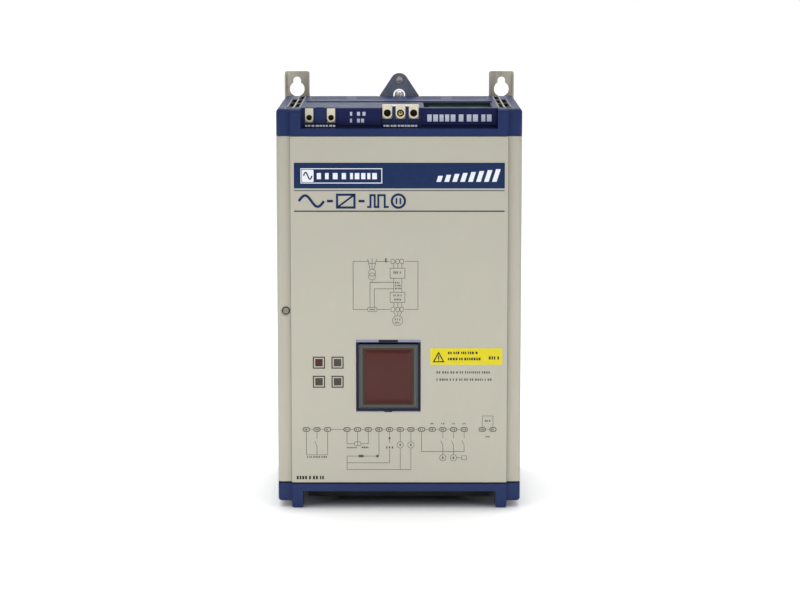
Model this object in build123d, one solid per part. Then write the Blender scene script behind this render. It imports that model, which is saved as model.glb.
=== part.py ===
from build123d import *
import math
import os

# Variable frequency drive, 4 kW class, wall or cabinet mounted. Millimetres.
# +X right, +Y into the cabinet (the front is at -Y), +Z up.
# Origin: middle of the footprint, on the surface that the feet stand on.

# ---------------------------------------------------------------- driving dimensions
WIDTH = 245.0                 # over the side panels
DEPTH = 210.0                 # front panel to mounting plane
LUG_TOP = 430.3               # highest point of the drive
CAP_TOP = 404.0               # roof of the top cap
COVER_TOP = 376.4             # hinged front cover
COVER_BOTTOM = 26.3
COVER_BACK = 0.3              # its face lies this much behind the caps' faces
TOP_CAP_BOTTOM = 377.0
BOTTOM_CAP_TOP = 24.8
BAND_BOTTOM = 17.1            # underside of the bottom cap between its feet
CORNER_BOTTOM = 6.0           # underside of its outer corners
PANEL_HALF = 108.5            # half width of the raised front panel
STRIP_STEP = 5.0              # the side strips lie this much further back
WALL = 2.5                    # moulded plastic walls
SHEET = 1.5                   # folded steel
CAP_REAR = 98.0

HALF = WIDTH / 2
FRONT = -DEPTH / 2
REAR = DEPTH / 2
STRIP = FRONT + STRIP_STEP

# top recess with the power terminals
RECESS_HALF = 98.0
RECESS_BACK = -91.0
LEDGE = 384.0
TERMINAL_SHELF_BACK = -58.0
DC_POLES = (-89.7, -67.9)
DC_HOLE_Z = 394.4
LINE_POLES = (-11.8, 1.3, 14.4)
LINE_HOLE_Z = 399.0
TONGUE_FRONT = -93.0
PLATE_Z = (386.3, 403.5)      # rating plates
PLATE_THICK = 2.5
BAY_X = (24.5, 93.3)          # option bay
BAY_Y = (-80.0, -8.0)

# openings in the roof
GROOVE_Y = (-6.0, 11.0)       # shallow exhaust groove
GROOVE_HALF = 96.0
GROOVE_OPENINGS = 8
LOUVRE_ROWS = (46.0, 58.0, 70.0, 82.0)
LOUVRE_LEFTS = (-92.0, -44.5, 8.0, 55.5)
LOUVRE = (36.5, 3.2)          # length and width
INNER_VENT_X = (100.6, 104.6)
INNER_VENTS_Y = ((-88.0, -32.0), (-29.0, 27.0), (30.0, 86.0))
OUTER_VENT_X = (106.0, 111.0)
OUTER_VENTS_Y = ((-78.0, -21.0), (-18.0, 39.0))
FRONT_VENT = ((107.0, 112.6), (-94.0, -84.0))

# mounting lugs
LUG_INNER = 95.9
LUG_SHEET = 3.0
LUG_X = 109.2
LUG_LIP = 1.6
LUG_TOP_Z = 350.0             # lower end of the upper lugs
LUG_BOTTOM_Z = 82.0           # upper end of the lower lugs
LUG_SCREW_X = 101.5
LUG_SCREW_ROWS = (44.0, 68.0, 362.0, 386.0)
LUG_SCREW_R = 2.5
LUG_SCREW_HEAD_R = 5.2
KEYHOLE_Z = 411.3
KEYHOLE_R = 7.85
KEYHOLE_NECK = 8.1
KEYHOLE_TOP = 424.4
FOOT_HOLE_R = 3.5
FOOT_HOLE_Z = 9.35

# front feet of the bottom cap
FOOT_X = (97.3, 108.4)
FOOT_DEPTH = 24.0
FOOT_CHAMFER = 1.4
GLAND_X, GLAND_Y, GLAND_R = 84.0, -68.0, 10.0

# side panels
PANEL_GAP = 2.0               # behind the hinge bead, so that the cover can swing
LOUVRE_STACKS = (92.0, 352.0)
PANEL_SLOT_SPANS = ((-22.0, 18.0), (38.0, 78.0))
PANEL_SLOT_ROWS = 7
PANEL_SLOT_PITCH = 8.0
PANEL_SLOT_HEIGHT = 3.2

# lifting eye, bolted to the heat sink's centre rib
EYE_Y = (98.5, 102.0)
EYE_HEAD_R, EYE_HEAD_Z = 9.5, 419.0
EYE_WAIST = 21.0
EYE_HOLE_R, EYE_HOLE_Z = 6.3, 405.2
EYE_RIVET_R, EYE_RIVET_Z = 3.6, 421.0
EYE_BOLT_ROWS = (370.0, 388.0)
EYE_STUD_R, EYE_STUD_Y = 4.2, 91.5

# heat sink
SINK_BASE = (30.0, 38.0)
SINK_Z = (34.0, 396.0)
FIN_BOTTOM = 62.0
FIN_REAR = 100.0
RAIL_X = (95.0, 107.0)
FIN_PITCH = 9.5
FIN_SHEET = 2.5
FINS_EACH_SIDE = 9
RIB_HALF = 7.0

# cooling fans
FAN_SIZE = 60.0
FAN_X = 45.0
FAN_Y = 70.0
FAN_Z = (34.0, 59.0)
FAN_BORE = 29.0
GUARD_WIRE = 1.6
INLET_R = 26.5
FAN_HOLE = 25.0               # screw holes from the fan's centre
BLADES = 7

# front cover hinge and quarter-turn screw
HINGE_X, HINGE_Y = 118.5, -49.0
HINGE_BEAD = 3.8
PIN_R = 2.0
PIN_PLAY = 0.05
PIN_REACH = 12.0
SCREW_X, SCREW_Z = -113.8, 201.0
STUD_R = 2.5

# display window, its bezel and its flap
WINDOW_X, WINDOW_Z = -10.9, 135.4
BEZEL_W, BEZEL_H = 65.0, 71.7
BEZEL_WALL = 2.2
BEZEL_DEPTH = 8.0
FLAP_GAP = 0.3
FLAP_SHEET = 3.2
FLAP_FRONT = FRONT + 0.4
TRUNNION_R = 1.2
DIGIT_Z = (126.0, 162.0)
KEY_STEP = 17.0
KEY_Z = 113.5
KEY_W, KEY_H = 12.0, 9.0
KEY_PLAY = 0.3

# status windows
STATUS = ((-80.7, 149.0), (-62.0, 149.0), (-80.7, 129.5), (-62.0, 129.5))
STATUS_SIDE = 7.65

# inner levels, all by their Y
TRAY_Y = (-62.0, -60.5)
MOTOR_POLES = (-30.0, -14.0, 2.0, 18.0, 34.0)
TRAY_HALF = 104.0
BOARD_Y = (-72.0, -70.4)
POWER_BOARD_Y = (-1.6, 0.0)
TRAY_POSTS = ((-94.0, 66.0), (94.0, 66.0), (-94.0, 350.0), (94.0, 350.0))
BOARD_POSTS = ((-92.0, 84.0), (92.0, 84.0), (-92.0, 220.0), (92.0, 220.0), (-92.0, 338.0),
               (92.0, 338.0))
POWER_POSTS = ((-80.0, 74.0), (80.0, 74.0), (-80.0, 336.0), (80.0, 336.0))

# control terminals: first pole and number of poles of each block
CONTROL_GROUPS = ((-86.0, 3), (-45.0, 10), (77.0, 2))
CONTROL_PITCH = 10.75
CONTROL_Z = (56.0, 76.0)
CONTROL_HOLE_Z = CONTROL_Z[1] - 6

FIT = 0.1                     # play round fixed screws and posts


# ---------------------------------------------------------------- helpers
def block(x, y, z):
    """A box between two values on each axis."""
    size = [span[1] - span[0] for span in (x, y, z)]
    middle = [(span[0] + span[1]) / 2 for span in (x, y, z)]
    return Pos(*middle) * Box(*size)


def rod_x(y, z, radius, x):
    return Pos((x[0] + x[1]) / 2, y, z) * Rot(0, 90, 0) * Cylinder(radius, x[1] - x[0])


def rod_y(x, z, radius, y):
    return Pos(x, (y[0] + y[1]) / 2, z) * Rot(90, 0, 0) * Cylinder(radius, y[1] - y[0])


def rod_z(x, y, radius, z):
    return Pos(x, y, (z[0] + z[1]) / 2) * Cylinder(radius, z[1] - z[0])


def join(shapes):
    """One solid out of several that touch or overlap."""
    shapes = list(shapes)
    return shapes[0].fuse(*shapes[1:]).clean() if len(shapes) > 1 else shapes[0]


def group(shapes):
    """Separate solids kept together in one node."""
    return Compound(children=[part for shape in shapes for part in shape.solids()])


def mirrored(shape):
    return shape.mirror(Plane.YZ)


def sorted_span(side, near, far):
    """The span between two distances from the middle plane, on one side of it."""
    return tuple(sorted((side * near, side * far)))


def plan(rear, inset=0.0):
    """Outline of the case seen from above: a raised middle and two stepped-back side strips."""
    half, panel = HALF - inset, PANEL_HALF - inset
    front, strip = FRONT + inset, STRIP + inset
    points = [(-half, rear), (-half, strip), (-panel, strip), (-panel, front),
              (panel, front), (panel, strip), (half, strip), (half, rear)]
    face = make_face(Polyline(*points, close=True))
    corners = [v for v in face.vertices() if abs(abs(v.X) - half) < 0.01 and abs(v.Y - strip) < 0.01]
    return fillet(corners, 4.0 - inset * 0.8)


def slotted_screw(x, z, head_r, head, shank_r, tip):
    """Screw along Y: its head spans the two values of head, its shank ends at tip."""
    body = rod_y(x, z, head_r, head) + rod_y(x, z, shank_r, (head[1], tip))
    slot = block((x - head_r, x + head_r), (head[0] - 1, head[0] + 0.9), (z - 0.5, z + 0.5))
    return body - slot


# ---------------------------------------------------------------- case
def top_cap():
    body = extrude(Pos(0, 0, TOP_CAP_BOTTOM) * plan(CAP_REAR), CAP_TOP - TOP_CAP_BOTTOM)
    rim = [e for e in body.faces().sort_by(Axis.Z)[-1].edges() if e.center().Y < CAP_REAR - 1]
    body = fillet(rim, 4.0)
    low, roof, floor = TOP_CAP_BOTTOM - 1, CAP_TOP - WALL, LEDGE - WALL
    wall_back, post = RECESS_BACK + WALL, RECESS_HALF + WALL
    body -= block((-HALF + WALL, HALF - WALL), (wall_back, CAP_REAR - WALL), (low, roof))
    body -= block((-RAIL_X[1] - 0.5, RAIL_X[1] + 0.5), (0, CAP_REAR + 1), (low, roof))
    body -= block((-PANEL_HALF + WALL, PANEL_HALF - WALL), (FRONT + WALL, wall_back), (low, floor))
    for side in (-1, 1):
        inner, outer = sorted((side * post, side * (HALF - WALL)))
        body -= block((inner, outer), (STRIP + WALL, wall_back), (low, roof))
    body -= block((-RECESS_HALF, RECESS_HALF), (FRONT - 1, RECESS_BACK), (LEDGE, CAP_TOP + 1))
    body += block((-RECESS_HALF, RECESS_HALF), (RECESS_BACK, TERMINAL_SHELF_BACK), (floor, LEDGE))
    body += block((BAY_X[0] - WALL, BAY_X[1] + WALL), (BAY_Y[0] - WALL, BAY_Y[1] + 2), (floor, roof + 0.5))
    body -= block(BAY_X, BAY_Y, (LEDGE, CAP_TOP + 1))
    for x in DC_POLES:
        body -= block((x - 4.35, x + 4.35), (RECESS_BACK - 1, wall_back + 1), (389.0, CAP_TOP + 1))
    body -= block((LINE_POLES[0] - 5.4, LINE_POLES[2] + 5.4), (RECESS_BACK - 1, -60.0), (LEDGE, CAP_TOP + 1))
    # exhaust groove: a shallow channel with long openings in its floor
    body -= block((-GROOVE_HALF, GROOVE_HALF), GROOVE_Y, (CAP_TOP - 1.5, CAP_TOP + 1))
    step = 2 * GROOVE_HALF / GROOVE_OPENINGS
    for i in range(GROOVE_OPENINGS):
        left = -GROOVE_HALF + i * step
        body -= block((left + 1.5, left + step - 1.5), (GROOVE_Y[0] + 2, GROOVE_Y[1] - 2), (low, CAP_TOP))
    # exhaust louvres over the fins, and a notch round the lifting eye
    for y in LOUVRE_ROWS:
        for left in LOUVRE_LEFTS:
            body -= block((left, left + LOUVRE[0]), (y, y + LOUVRE[1]), (low, CAP_TOP + 1))
    body -= block((-23, 23), (94.0, CAP_REAR + 1), (low, CAP_TOP + 1))
    body -= rod_z(0, EYE_STUD_Y, EYE_STUD_R + 0.8, (low, CAP_TOP + 1))
    # vent slots along both top corners
    for side in (-1, 1):
        for y in INNER_VENTS_Y:
            body -= block(sorted_span(side, *INNER_VENT_X), y, (roof - 1, CAP_TOP + 1))
        for y in OUTER_VENTS_Y:
            body -= block(sorted_span(side, *OUTER_VENT_X), y, (roof - 1, CAP_TOP + 1))
        body -= block(sorted_span(side, *FRONT_VENT[0]), FRONT_VENT[1], (roof - 3, CAP_TOP + 1))
    # hinge pin boss
    body += rod_z(HINGE_X, HINGE_Y, HINGE_BEAD, (TOP_CAP_BOTTOM, 390.0))
    return body - rod_z(HINGE_X, HINGE_Y, PIN_R, (TOP_CAP_BOTTOM - 1, TOP_CAP_BOTTOM + PIN_REACH))


def bottom_cap():
    body = extrude(Pos(0, 0, CORNER_BOTTOM) * plan(CAP_REAR), BOTTOM_CAP_TOP - CORNER_BOTTOM)
    edges = [e for e in body.faces().sort_by(Axis.Z)[0].edges() if abs(e.center().X) > HALF - 1]
    body = fillet(edges, 3.0)
    floor_top = BAND_BOTTOM + WALL
    body -= block((-PANEL_HALF + 1.2, PANEL_HALF - 1.2), (FRONT - 1, CAP_REAR + 1), (0, BAND_BOTTOM))
    body -= block((-HALF + WALL, HALF - WALL), (STRIP + WALL, CAP_REAR + 1), (floor_top, BOTTOM_CAP_TOP + 1))
    body -= block((-PANEL_HALF + WALL, PANEL_HALF - WALL), (FRONT + WALL, 0), (floor_top, BOTTOM_CAP_TOP + 1))
    for side in (-1, 1):
        foot = block(sorted_span(side, *FOOT_X), (FRONT, FRONT + FOOT_DEPTH), (0.0, BAND_BOTTOM + 1))
        foot = chamfer(foot.faces().sort_by(Axis.Z)[0].edges(), FOOT_CHAMFER)
        body += foot
    body += rod_z(HINGE_X, HINGE_Y, HINGE_BEAD, (12.0, BOTTOM_CAP_TOP))
    # cable outlets at the front, air inlets under the fans
    body += block((-PANEL_HALF + WALL, PANEL_HALF - WALL), (-84.0, -82.5), (BAND_BOTTOM + 1, 29.5))
    body -= block((-62, 62), (-81, -63), (0, BOTTOM_CAP_TOP + 1))
    for side in (-1, 1):
        body -= rod_z(side * GLAND_X, GLAND_Y, GLAND_R, (0, BOTTOM_CAP_TOP + 1))
        body -= rod_z(side * FAN_X, FAN_Y - 1, INLET_R, (0, BOTTOM_CAP_TOP + 1))
    return body - rod_z(HINGE_X, HINGE_Y, PIN_R, (BOTTOM_CAP_TOP - 10, BOTTOM_CAP_TOP + 1))


def side_panel():
    """Right-hand panel: a folded steel sheet with two rows of louvre slots."""
    z = (BOTTOM_CAP_TOP, TOP_CAP_BOTTOM)
    inner = HALF - SHEET
    front = HINGE_Y + HINGE_BEAD + PANEL_GAP
    body = join([block((inner, HALF), (front, 102.0), z),
                 block((112.0, inner), (front, front + SHEET), z),
                 block((RAIL_X[1], inner), (102.0 - SHEET, 102.0), z)])
    for top in LOUVRE_STACKS:
        for row in range(PANEL_SLOT_ROWS):
            low = top - row * PANEL_SLOT_PITCH
            for y in PANEL_SLOT_SPANS:
                body -= block((inner - 1, HALF + 1), y, (low, low + PANEL_SLOT_HEIGHT))
    return body


def mounting_lug_top():
    """Right-hand upper lug: flat plate with a keyhole and two folded lips."""
    z = (LUG_TOP_Z, LUG_TOP)
    plate = block((LUG_INNER, HALF), (REAR - LUG_SHEET, REAR), z)
    corners = plate.edges().filter_by(Axis.Y).group_by(Axis.Z)[-1]
    plate = fillet(corners, 2.5)
    lip_y = (REAR - LUG_SHEET - 3.6, REAR - LUG_SHEET)
    for x in ((LUG_INNER, LUG_INNER + LUG_LIP), (HALF - LUG_LIP, HALF)):
        plate += block(x, lip_y, (CAP_TOP + 2, LUG_TOP - 4))
    neck_end = KEYHOLE_TOP - KEYHOLE_NECK / 2
    plate -= rod_y(LUG_X, KEYHOLE_Z, KEYHOLE_R, (REAR - 9, REAR + 1))
    plate -= rod_y(LUG_X, neck_end, KEYHOLE_NECK / 2, (REAR - 9, REAR + 1))
    plate -= block((LUG_X - KEYHOLE_NECK / 2, LUG_X + KEYHOLE_NECK / 2), (REAR - 9, REAR + 1),
                   (KEYHOLE_Z, neck_end))
    return plate - countersinks(LUG_SCREW_ROWS[2:])


def mounting_lug_bottom():
    """Right-hand lower lug: plain plate with one round hole, which also stands on the floor."""
    plate = block((LUG_INNER, HALF), (REAR - LUG_SHEET, REAR), (0.0, LUG_BOTTOM_Z))
    corners = plate.edges().filter_by(Axis.Y).group_by(Axis.Z)[0]
    plate = fillet(corners, 2.5)
    plate -= rod_y(LUG_X, FOOT_HOLE_Z, FOOT_HOLE_R, (REAR - 9, REAR + 1))
    return plate - countersinks(LUG_SCREW_ROWS[:2])


def countersunk_head(z, play=0.0):
    """Conical head of a lug screw, as thick as the lug's sheet."""
    cone = Cone(LUG_SCREW_HEAD_R + play, LUG_SCREW_R + play, LUG_SHEET)
    return Pos(LUG_SCREW_X, REAR - LUG_SHEET / 2, z) * Rot(90, 0, 0) * cone


def countersinks(rows):
    return join([countersunk_head(z, FIT) for z in rows])


def lug_screws():
    screws = []
    for z in LUG_SCREW_ROWS:
        shank = rod_y(LUG_SCREW_X, z, LUG_SCREW_R, (REAR - 18, REAR - LUG_SHEET))
        slot = block((LUG_SCREW_X - 4, LUG_SCREW_X + 4), (REAR - 1, REAR + 1), (z - 0.6, z + 0.6))
        screw = countersunk_head(z) + shank - slot
        screws += [screw, mirrored(screw)]
    return group(screws)


def heat_sink():
    shapes = [block((-RAIL_X[1], RAIL_X[1]), SINK_BASE, SINK_Z)]
    for side in (-1, 1):
        shapes.append(block(sorted_span(side, *RAIL_X), (SINK_BASE[1], REAR - LUG_SHEET), SINK_Z))
    shapes.append(block((-RIB_HALF, RIB_HALF), (SINK_BASE[1], EYE_Y[0]), (FIN_BOTTOM, SINK_Z[1])))
    for i in range(2, FINS_EACH_SIDE + 1):
        for x in (-i * FIN_PITCH, i * FIN_PITCH):
            shapes.append(block((x - FIN_SHEET / 2, x + FIN_SHEET / 2), (SINK_BASE[1], FIN_REAR),
                                (FIN_BOTTOM, SINK_Z[1])))
    body = join(shapes)
    for z in LUG_SCREW_ROWS:
        hole = rod_y(LUG_SCREW_X, z, LUG_SCREW_R + FIT, (REAR - 20, REAR))
        body = body - hole - mirrored(hole)
    for z in EYE_BOLT_ROWS:
        body -= rod_y(0, z, 2.5 + FIT, (80.0, 99.0))
    return body


# ---------------------------------------------------------------- lifting eye
def lifting_eye():
    """Steel plate with a round head; its waist rests on the roof and its stem runs down the centre rib."""
    middle = (EYE_Y[0] + EYE_Y[1]) / 2
    head = Pos(0, EYE_HEAD_Z) * Circle(EYE_HEAD_R)
    foot = Pos(0, CAP_TOP - 1) * Rectangle(2 * EYE_WAIST, 3.0)
    stem = Pos(0, 382.0) * Rectangle(24.0, 44.0)
    outline = make_hull((head + foot).edges()) + stem
    outline -= Pos(0, EYE_HOLE_Z) * Circle(EYE_HOLE_R)
    outline -= Pos(0, EYE_RIVET_Z) * Circle(EYE_RIVET_R + FIT)
    for z in EYE_BOLT_ROWS:
        outline -= Pos(0, z) * Circle(2.5 + FIT)
    plate = extrude(Plane.XZ * outline, EYE_Y[1] - EYE_Y[0])
    return Pos(0, middle - plate.center(CenterOf.BOUNDING_BOX).Y, 0) * plate


def lifting_eye_bolts():
    bolts = []
    for z in EYE_BOLT_ROWS:
        hexagon = extrude(RegularPolygon(4.6, 6), 1.5, both=True)
        head = Pos(0, (EYE_Y[1] + REAR) / 2, z) * Rot(90, 0, 0) * hexagon
        bolts.append(head + rod_y(0, z, 2.5, (84.0, EYE_Y[1])))
    rivet = rod_y(0, EYE_RIVET_Z, EYE_RIVET_R, (EYE_Y[0] - 1.0, EYE_Y[1]))
    return group(bolts + [rivet, eye_stud()])


def eye_stud():
    """Domed locating stud that stands on the centre rib in front of the eye's hole."""
    shaft = rod_z(0, EYE_STUD_Y, EYE_STUD_R, (SINK_Z[1], 405.6))
    return shaft + Pos(0, EYE_STUD_Y, 405.6) * Sphere(EYE_STUD_R)


# ---------------------------------------------------------------- terminals and rating plates
def pole_block(poles, width, hole_z, hole_r, z, body_x, body_top):
    """Moulded terminal block: a body on the shelf and one tongue with a round end for each pole."""
    body = block(body_x, (RECESS_BACK + WALL + 0.1, -60.0), (LEDGE, body_top))
    half = width / 2
    tongue_y = (TONGUE_FRONT, RECESS_BACK + WALL + 1)
    for x in poles:
        body += block((x - half, x + half), tongue_y, (z[0] + half, z[1]))
        body += rod_y(x, z[0] + half, half, tongue_y)
        body -= rod_y(x, hole_z, hole_r, (TONGUE_FRONT - 1, TONGUE_FRONT + 12))
        body -= rod_y(x, hole_z, 1.6, (TONGUE_FRONT, TONGUE_FRONT + 20))
    return body


def dc_terminal_block():
    return pole_block(DC_POLES, 8.1, DC_HOLE_Z, 2.85, (390.0, 403.3), (-94.6, -63.0), 401.0)


def line_terminal_block():
    body_x = (LINE_POLES[0] - 5.2, LINE_POLES[2] + 5.2)
    return pole_block(LINE_POLES, 9.6, LINE_HOLE_Z, 3.65, (393.6, 407.0), body_x, 405.6)


def top_terminal_screws():
    front = TONGUE_FRONT + 7.0
    places = [(x, DC_HOLE_Z, 2.6) for x in DC_POLES] + [(x, LINE_HOLE_Z, 3.3) for x in LINE_POLES]
    return group([slotted_screw(x, z, r, (front, front + 3), 1.5, front + 12) for x, z, r in places])


def rating_plate(left, right):
    plate = block((left, right), (RECESS_BACK - PLATE_THICK, RECESS_BACK), PLATE_Z)
    return fillet(plate.faces().sort_by(Axis.Y)[0].edges(), 0.8)


def motor_terminal_block():
    body = block((MOTOR_POLES[0] - 8, MOTOR_POLES[-1] + 8), (-84.0, TRAY_Y[0]), (31.5, 50.0))
    for x in MOTOR_POLES:
        body -= rod_y(x, 42.0, 4.0, (-85.0, -76.0))
        body -= rod_y(x, 42.0, 2.1, (-78.0, -66.0))
        body -= block((x - 5, x + 5), (-80.0, -68.0), (30.0, 36.0))
    return body


def motor_terminal_screws():
    return group([slotted_screw(x, 42.0, 3.6, (-79.0, -76.0), 2.0, -67.0) for x in MOTOR_POLES])


def earth_stud():
    stud = rod_y(84.0, 44.0, 3.0, (-84.0, TRAY_Y[0]))
    nut = Pos(84.0, -70.0, 44.0) * Rot(90, 0, 0) * extrude(RegularPolygon(5.8, 6), 2.5, both=True)
    washer = rod_y(84.0, 44.0, 6.5, (-67.5, TRAY_Y[0]))
    return join([stud, nut, washer])


def option_card():
    """Small board that stands in the roof bay, with an edge connector."""
    card = block((30.0, 91.0), (-28.0, -26.4), (LEDGE, 401.6))
    return join([card, block((36.0, 76.0), (-26.4, -19.0), (LEDGE, 392.0)),
                 block((46.0, 58.0), (-31.0, -28.0), (388.0, 396.0))])


# ---------------------------------------------------------------- hinged front cover
def cover():
    z = (COVER_BOTTOM, COVER_TOP)
    solid = extrude(Pos(0, COVER_BACK, z[0]) * plan(HINGE_Y - COVER_BACK), z[1] - z[0])
    hollow = extrude(Pos(0, COVER_BACK, z[0] - 1) * plan(HINGE_Y + 5, WALL), z[1] - z[0] + 2)
    keep = block((-HALF, HALF), (FRONT, FRONT + 20), (z[0], z[0] + 2)) \
        + block((-HALF, HALF), (FRONT, FRONT + 20), (z[1] - 2, z[1]))
    body = solid - (hollow - keep)
    body += block((-HALF, -HALF + WALL), (HINGE_Y, HINGE_Y + 4), z)
    body += rod_z(HINGE_X, HINGE_Y, HINGE_BEAD, z)
    for span in ((z[0] - 1, z[0] + PIN_REACH + 0.5), (z[1] - PIN_REACH - 0.5, z[1] + 1)):
        body -= rod_z(HINGE_X, HINGE_Y, PIN_R + PIN_PLAY, span)
    # display window
    body -= block((WINDOW_X - BEZEL_W / 2, WINDOW_X + BEZEL_W / 2), (FRONT - 1, FRONT + 5),
                  (WINDOW_Z - BEZEL_H / 2, WINDOW_Z + BEZEL_H / 2))
    # status windows
    for x, zc in STATUS:
        half = STATUS_SIDE / 2
        body -= block((x - half, x + half), (FRONT - 1, FRONT + 5), (zc - half, zc + half))
    # boss and cup of the quarter-turn screw
    body += rod_y(SCREW_X, SCREW_Z, 7.5, (STRIP + 1, STRIP + 9))
    body -= rod_y(SCREW_X, SCREW_Z, 5.6, (STRIP - 1, STRIP + 1.1))
    body -= rod_y(SCREW_X, SCREW_Z, 4.3, (STRIP - 1, STRIP + 3))
    return body - rod_y(SCREW_X, SCREW_Z, STUD_R + PIN_PLAY, (STRIP, STRIP + 12))


def cover_screw():
    return slotted_screw(SCREW_X, SCREW_Z, 4.2, (STRIP + 0.8, STRIP + 3.0), STUD_R, STRIP + 18)


def latch_fork():
    """Two-pronged plate on the tray that the cover's screw turns into."""
    plate = block((-116.5, -TRAY_HALF), (-86.0, -84.0), (SCREW_Z - 11, SCREW_Z + 11))
    plate -= block((-117.5, SCREW_X + 5.0), (-87.0, -83.0), (SCREW_Z - 4.2, SCREW_Z + 4.2))
    return plate


def hinge_pins():
    top = rod_z(HINGE_X, HINGE_Y, PIN_R, (COVER_TOP - PIN_REACH, TOP_CAP_BOTTOM + PIN_REACH))
    bottom = rod_z(HINGE_X, HINGE_Y, PIN_R, (BOTTOM_CAP_TOP - 10, COVER_BOTTOM + PIN_REACH))
    return group([top, bottom])


def window_bezel():
    half_w, half_h = BEZEL_W / 2, BEZEL_H / 2
    depth = (FRONT, FRONT + BEZEL_DEPTH)
    body = block((WINDOW_X - half_w, WINDOW_X + half_w), depth, (WINDOW_Z - half_h, WINDOW_Z + half_h))
    body -= block((WINDOW_X - half_w + BEZEL_WALL, WINDOW_X + half_w - BEZEL_WALL), (FRONT - 1, 0),
                  (WINDOW_Z - half_h + BEZEL_WALL, WINDOW_Z + half_h - BEZEL_WALL))
    top, bottom = WINDOW_Z + half_h, WINDOW_Z - half_h
    body -= block((WINDOW_X - 9.75, WINDOW_X + 9.75), (FRONT - 1, FRONT + 4), (top - 1.4, top + 1))
    body -= block((WINDOW_X - 4, WINDOW_X + 4), (FRONT - 1, FRONT + 2), (bottom - 1, bottom + 1.2))
    y, z = flap_axis()
    inner = half_w - BEZEL_WALL
    for side in (-1, 1):
        span = tuple(sorted((WINDOW_X + side * (inner - 1), WINDOW_X + side * (inner + 1.7))))
        body -= rod_x(y, z, TRUNNION_R + PIN_PLAY, span)
    return body


def flap_axis():
    bottom = WINDOW_Z - BEZEL_H / 2 + BEZEL_WALL + FLAP_GAP
    return FLAP_FRONT + FLAP_SHEET / 2, bottom + FLAP_SHEET / 2


def display_flap():
    y, z = flap_axis()
    half = BEZEL_W / 2 - BEZEL_WALL - FLAP_GAP
    x = (WINDOW_X - half, WINDOW_X + half)
    top = WINDOW_Z + BEZEL_H / 2 - BEZEL_WALL - FLAP_GAP
    body = block(x, (FLAP_FRONT, FLAP_FRONT + FLAP_SHEET), (z, top)) + rod_x(y, z, FLAP_SHEET / 2, x)
    return body + rod_x(y, z, TRUNNION_R, (x[0] - 1.6, x[1] + 1.6))


def status_lens(x, z):
    half = STATUS_SIDE / 2 - FIT / 2
    lens = block((x - half, x + half), (FRONT + 0.8, FRONT + 4), (z - half, z + half))
    half -= 0.8
    return lens + block((x - half, x + half), (FRONT + 4, FRONT + 6), (z - half, z + half))


# ---------------------------------------------------------------- control level
def control_tray():
    z = (30.0, 372.0)
    shapes = [block((-TRAY_HALF, TRAY_HALF), TRAY_Y, z)]
    for side in (-1, 1):
        shapes.append(block(sorted_span(side, TRAY_HALF - SHEET, TRAY_HALF), (-86.0, TRAY_Y[0]), z))
    body = join(shapes)
    body -= block((40.0, 84.0), (-63.0, -60.0), (262.0, 280.0))
    for x, zc in TRAY_POSTS:
        body -= rod_y(x, zc, 2.0 + FIT, (-63.0, -60.0))
    return body


def posts(places, radius, y, bore):
    """Round posts along Y, each with a blind bore in its front end."""
    return [rod_y(x, z, radius, y) - rod_y(x, z, bore, (y[0] - 1, y[0] + 9)) for x, z in places]


def board_pillars():
    front = posts(BOARD_POSTS, 2.8, (BOARD_Y[1], TRAY_Y[0]), 1.5 + FIT)
    rear = posts(POWER_POSTS, 3.5, (POWER_BOARD_Y[1], SINK_BASE[0]), 1.5 + FIT)
    return group(front + rear)


def tray_standoffs():
    return group(posts(TRAY_POSTS, 4.5, (TRAY_Y[1], SINK_BASE[0]), 2.0 + FIT))


def board_screws():
    rows = ((BOARD_POSTS, 3.0, 2.0, 1.5, BOARD_Y), (POWER_POSTS, 3.0, 2.0, 1.5, POWER_BOARD_Y),
            (TRAY_POSTS, 4.0, 2.4, 2.0, TRAY_Y))
    screws = []
    for places, head_r, head_height, shank_r, sheet in rows:
        head = (sheet[0] - head_height, sheet[0])
        screws += [slotted_screw(x, z, head_r, head, shank_r, sheet[1] + 7) for x, z in places]
    return group(screws)


def control_board():
    body = block((-98.0, 98.0), BOARD_Y, (52.0, 346.0))
    for x, z in BOARD_POSTS:
        body -= rod_y(x, z, 1.5 + FIT, (-73.0, -70.0))
    return body


def display_housing():
    """Box on the control board that carries the digits and guides the three keys."""
    y = (-96.0, BOARD_Y[0])
    body = block((WINDOW_X - 27, WINDOW_X + 27), y, (105.0, 166.0))
    body -= block((WINDOW_X - 23, WINDOW_X + 23), (y[0] - 1, y[0] + 7), DIGIT_Z)
    for x in key_places():
        half_w, half_h = KEY_W / 2 + KEY_PLAY, KEY_H / 2 + KEY_PLAY
        body -= block((x - half_w, x + half_w), (y[0] - 1, y[0] + 9), (KEY_Z - half_h, KEY_Z + half_h))
    return body


def digit_module():
    body = block((WINDOW_X - 23, WINDOW_X + 23), (-96.4, -89.0), DIGIT_Z)
    return fillet(body.faces().sort_by(Axis.Y)[0].edges(), 0.6)


def key_places():
    return [WINDOW_X + step * KEY_STEP for step in (-1, 0, 1)]


def key(x):
    cap = block((x - KEY_W / 2, x + KEY_W / 2), (-99.4, -89.5), (KEY_Z - KEY_H / 2, KEY_Z + KEY_H / 2))
    return fillet(cap.faces().sort_by(Axis.Y)[0].edges(), 1.0)


def status_leds():
    leds = []
    for x, z in STATUS:
        leds.append(rod_y(x, z, 2.4, (-94.0, BOARD_Y[0])) + Pos(x, -94.0, z) * Sphere(2.4))
    return group(leds)


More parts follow.
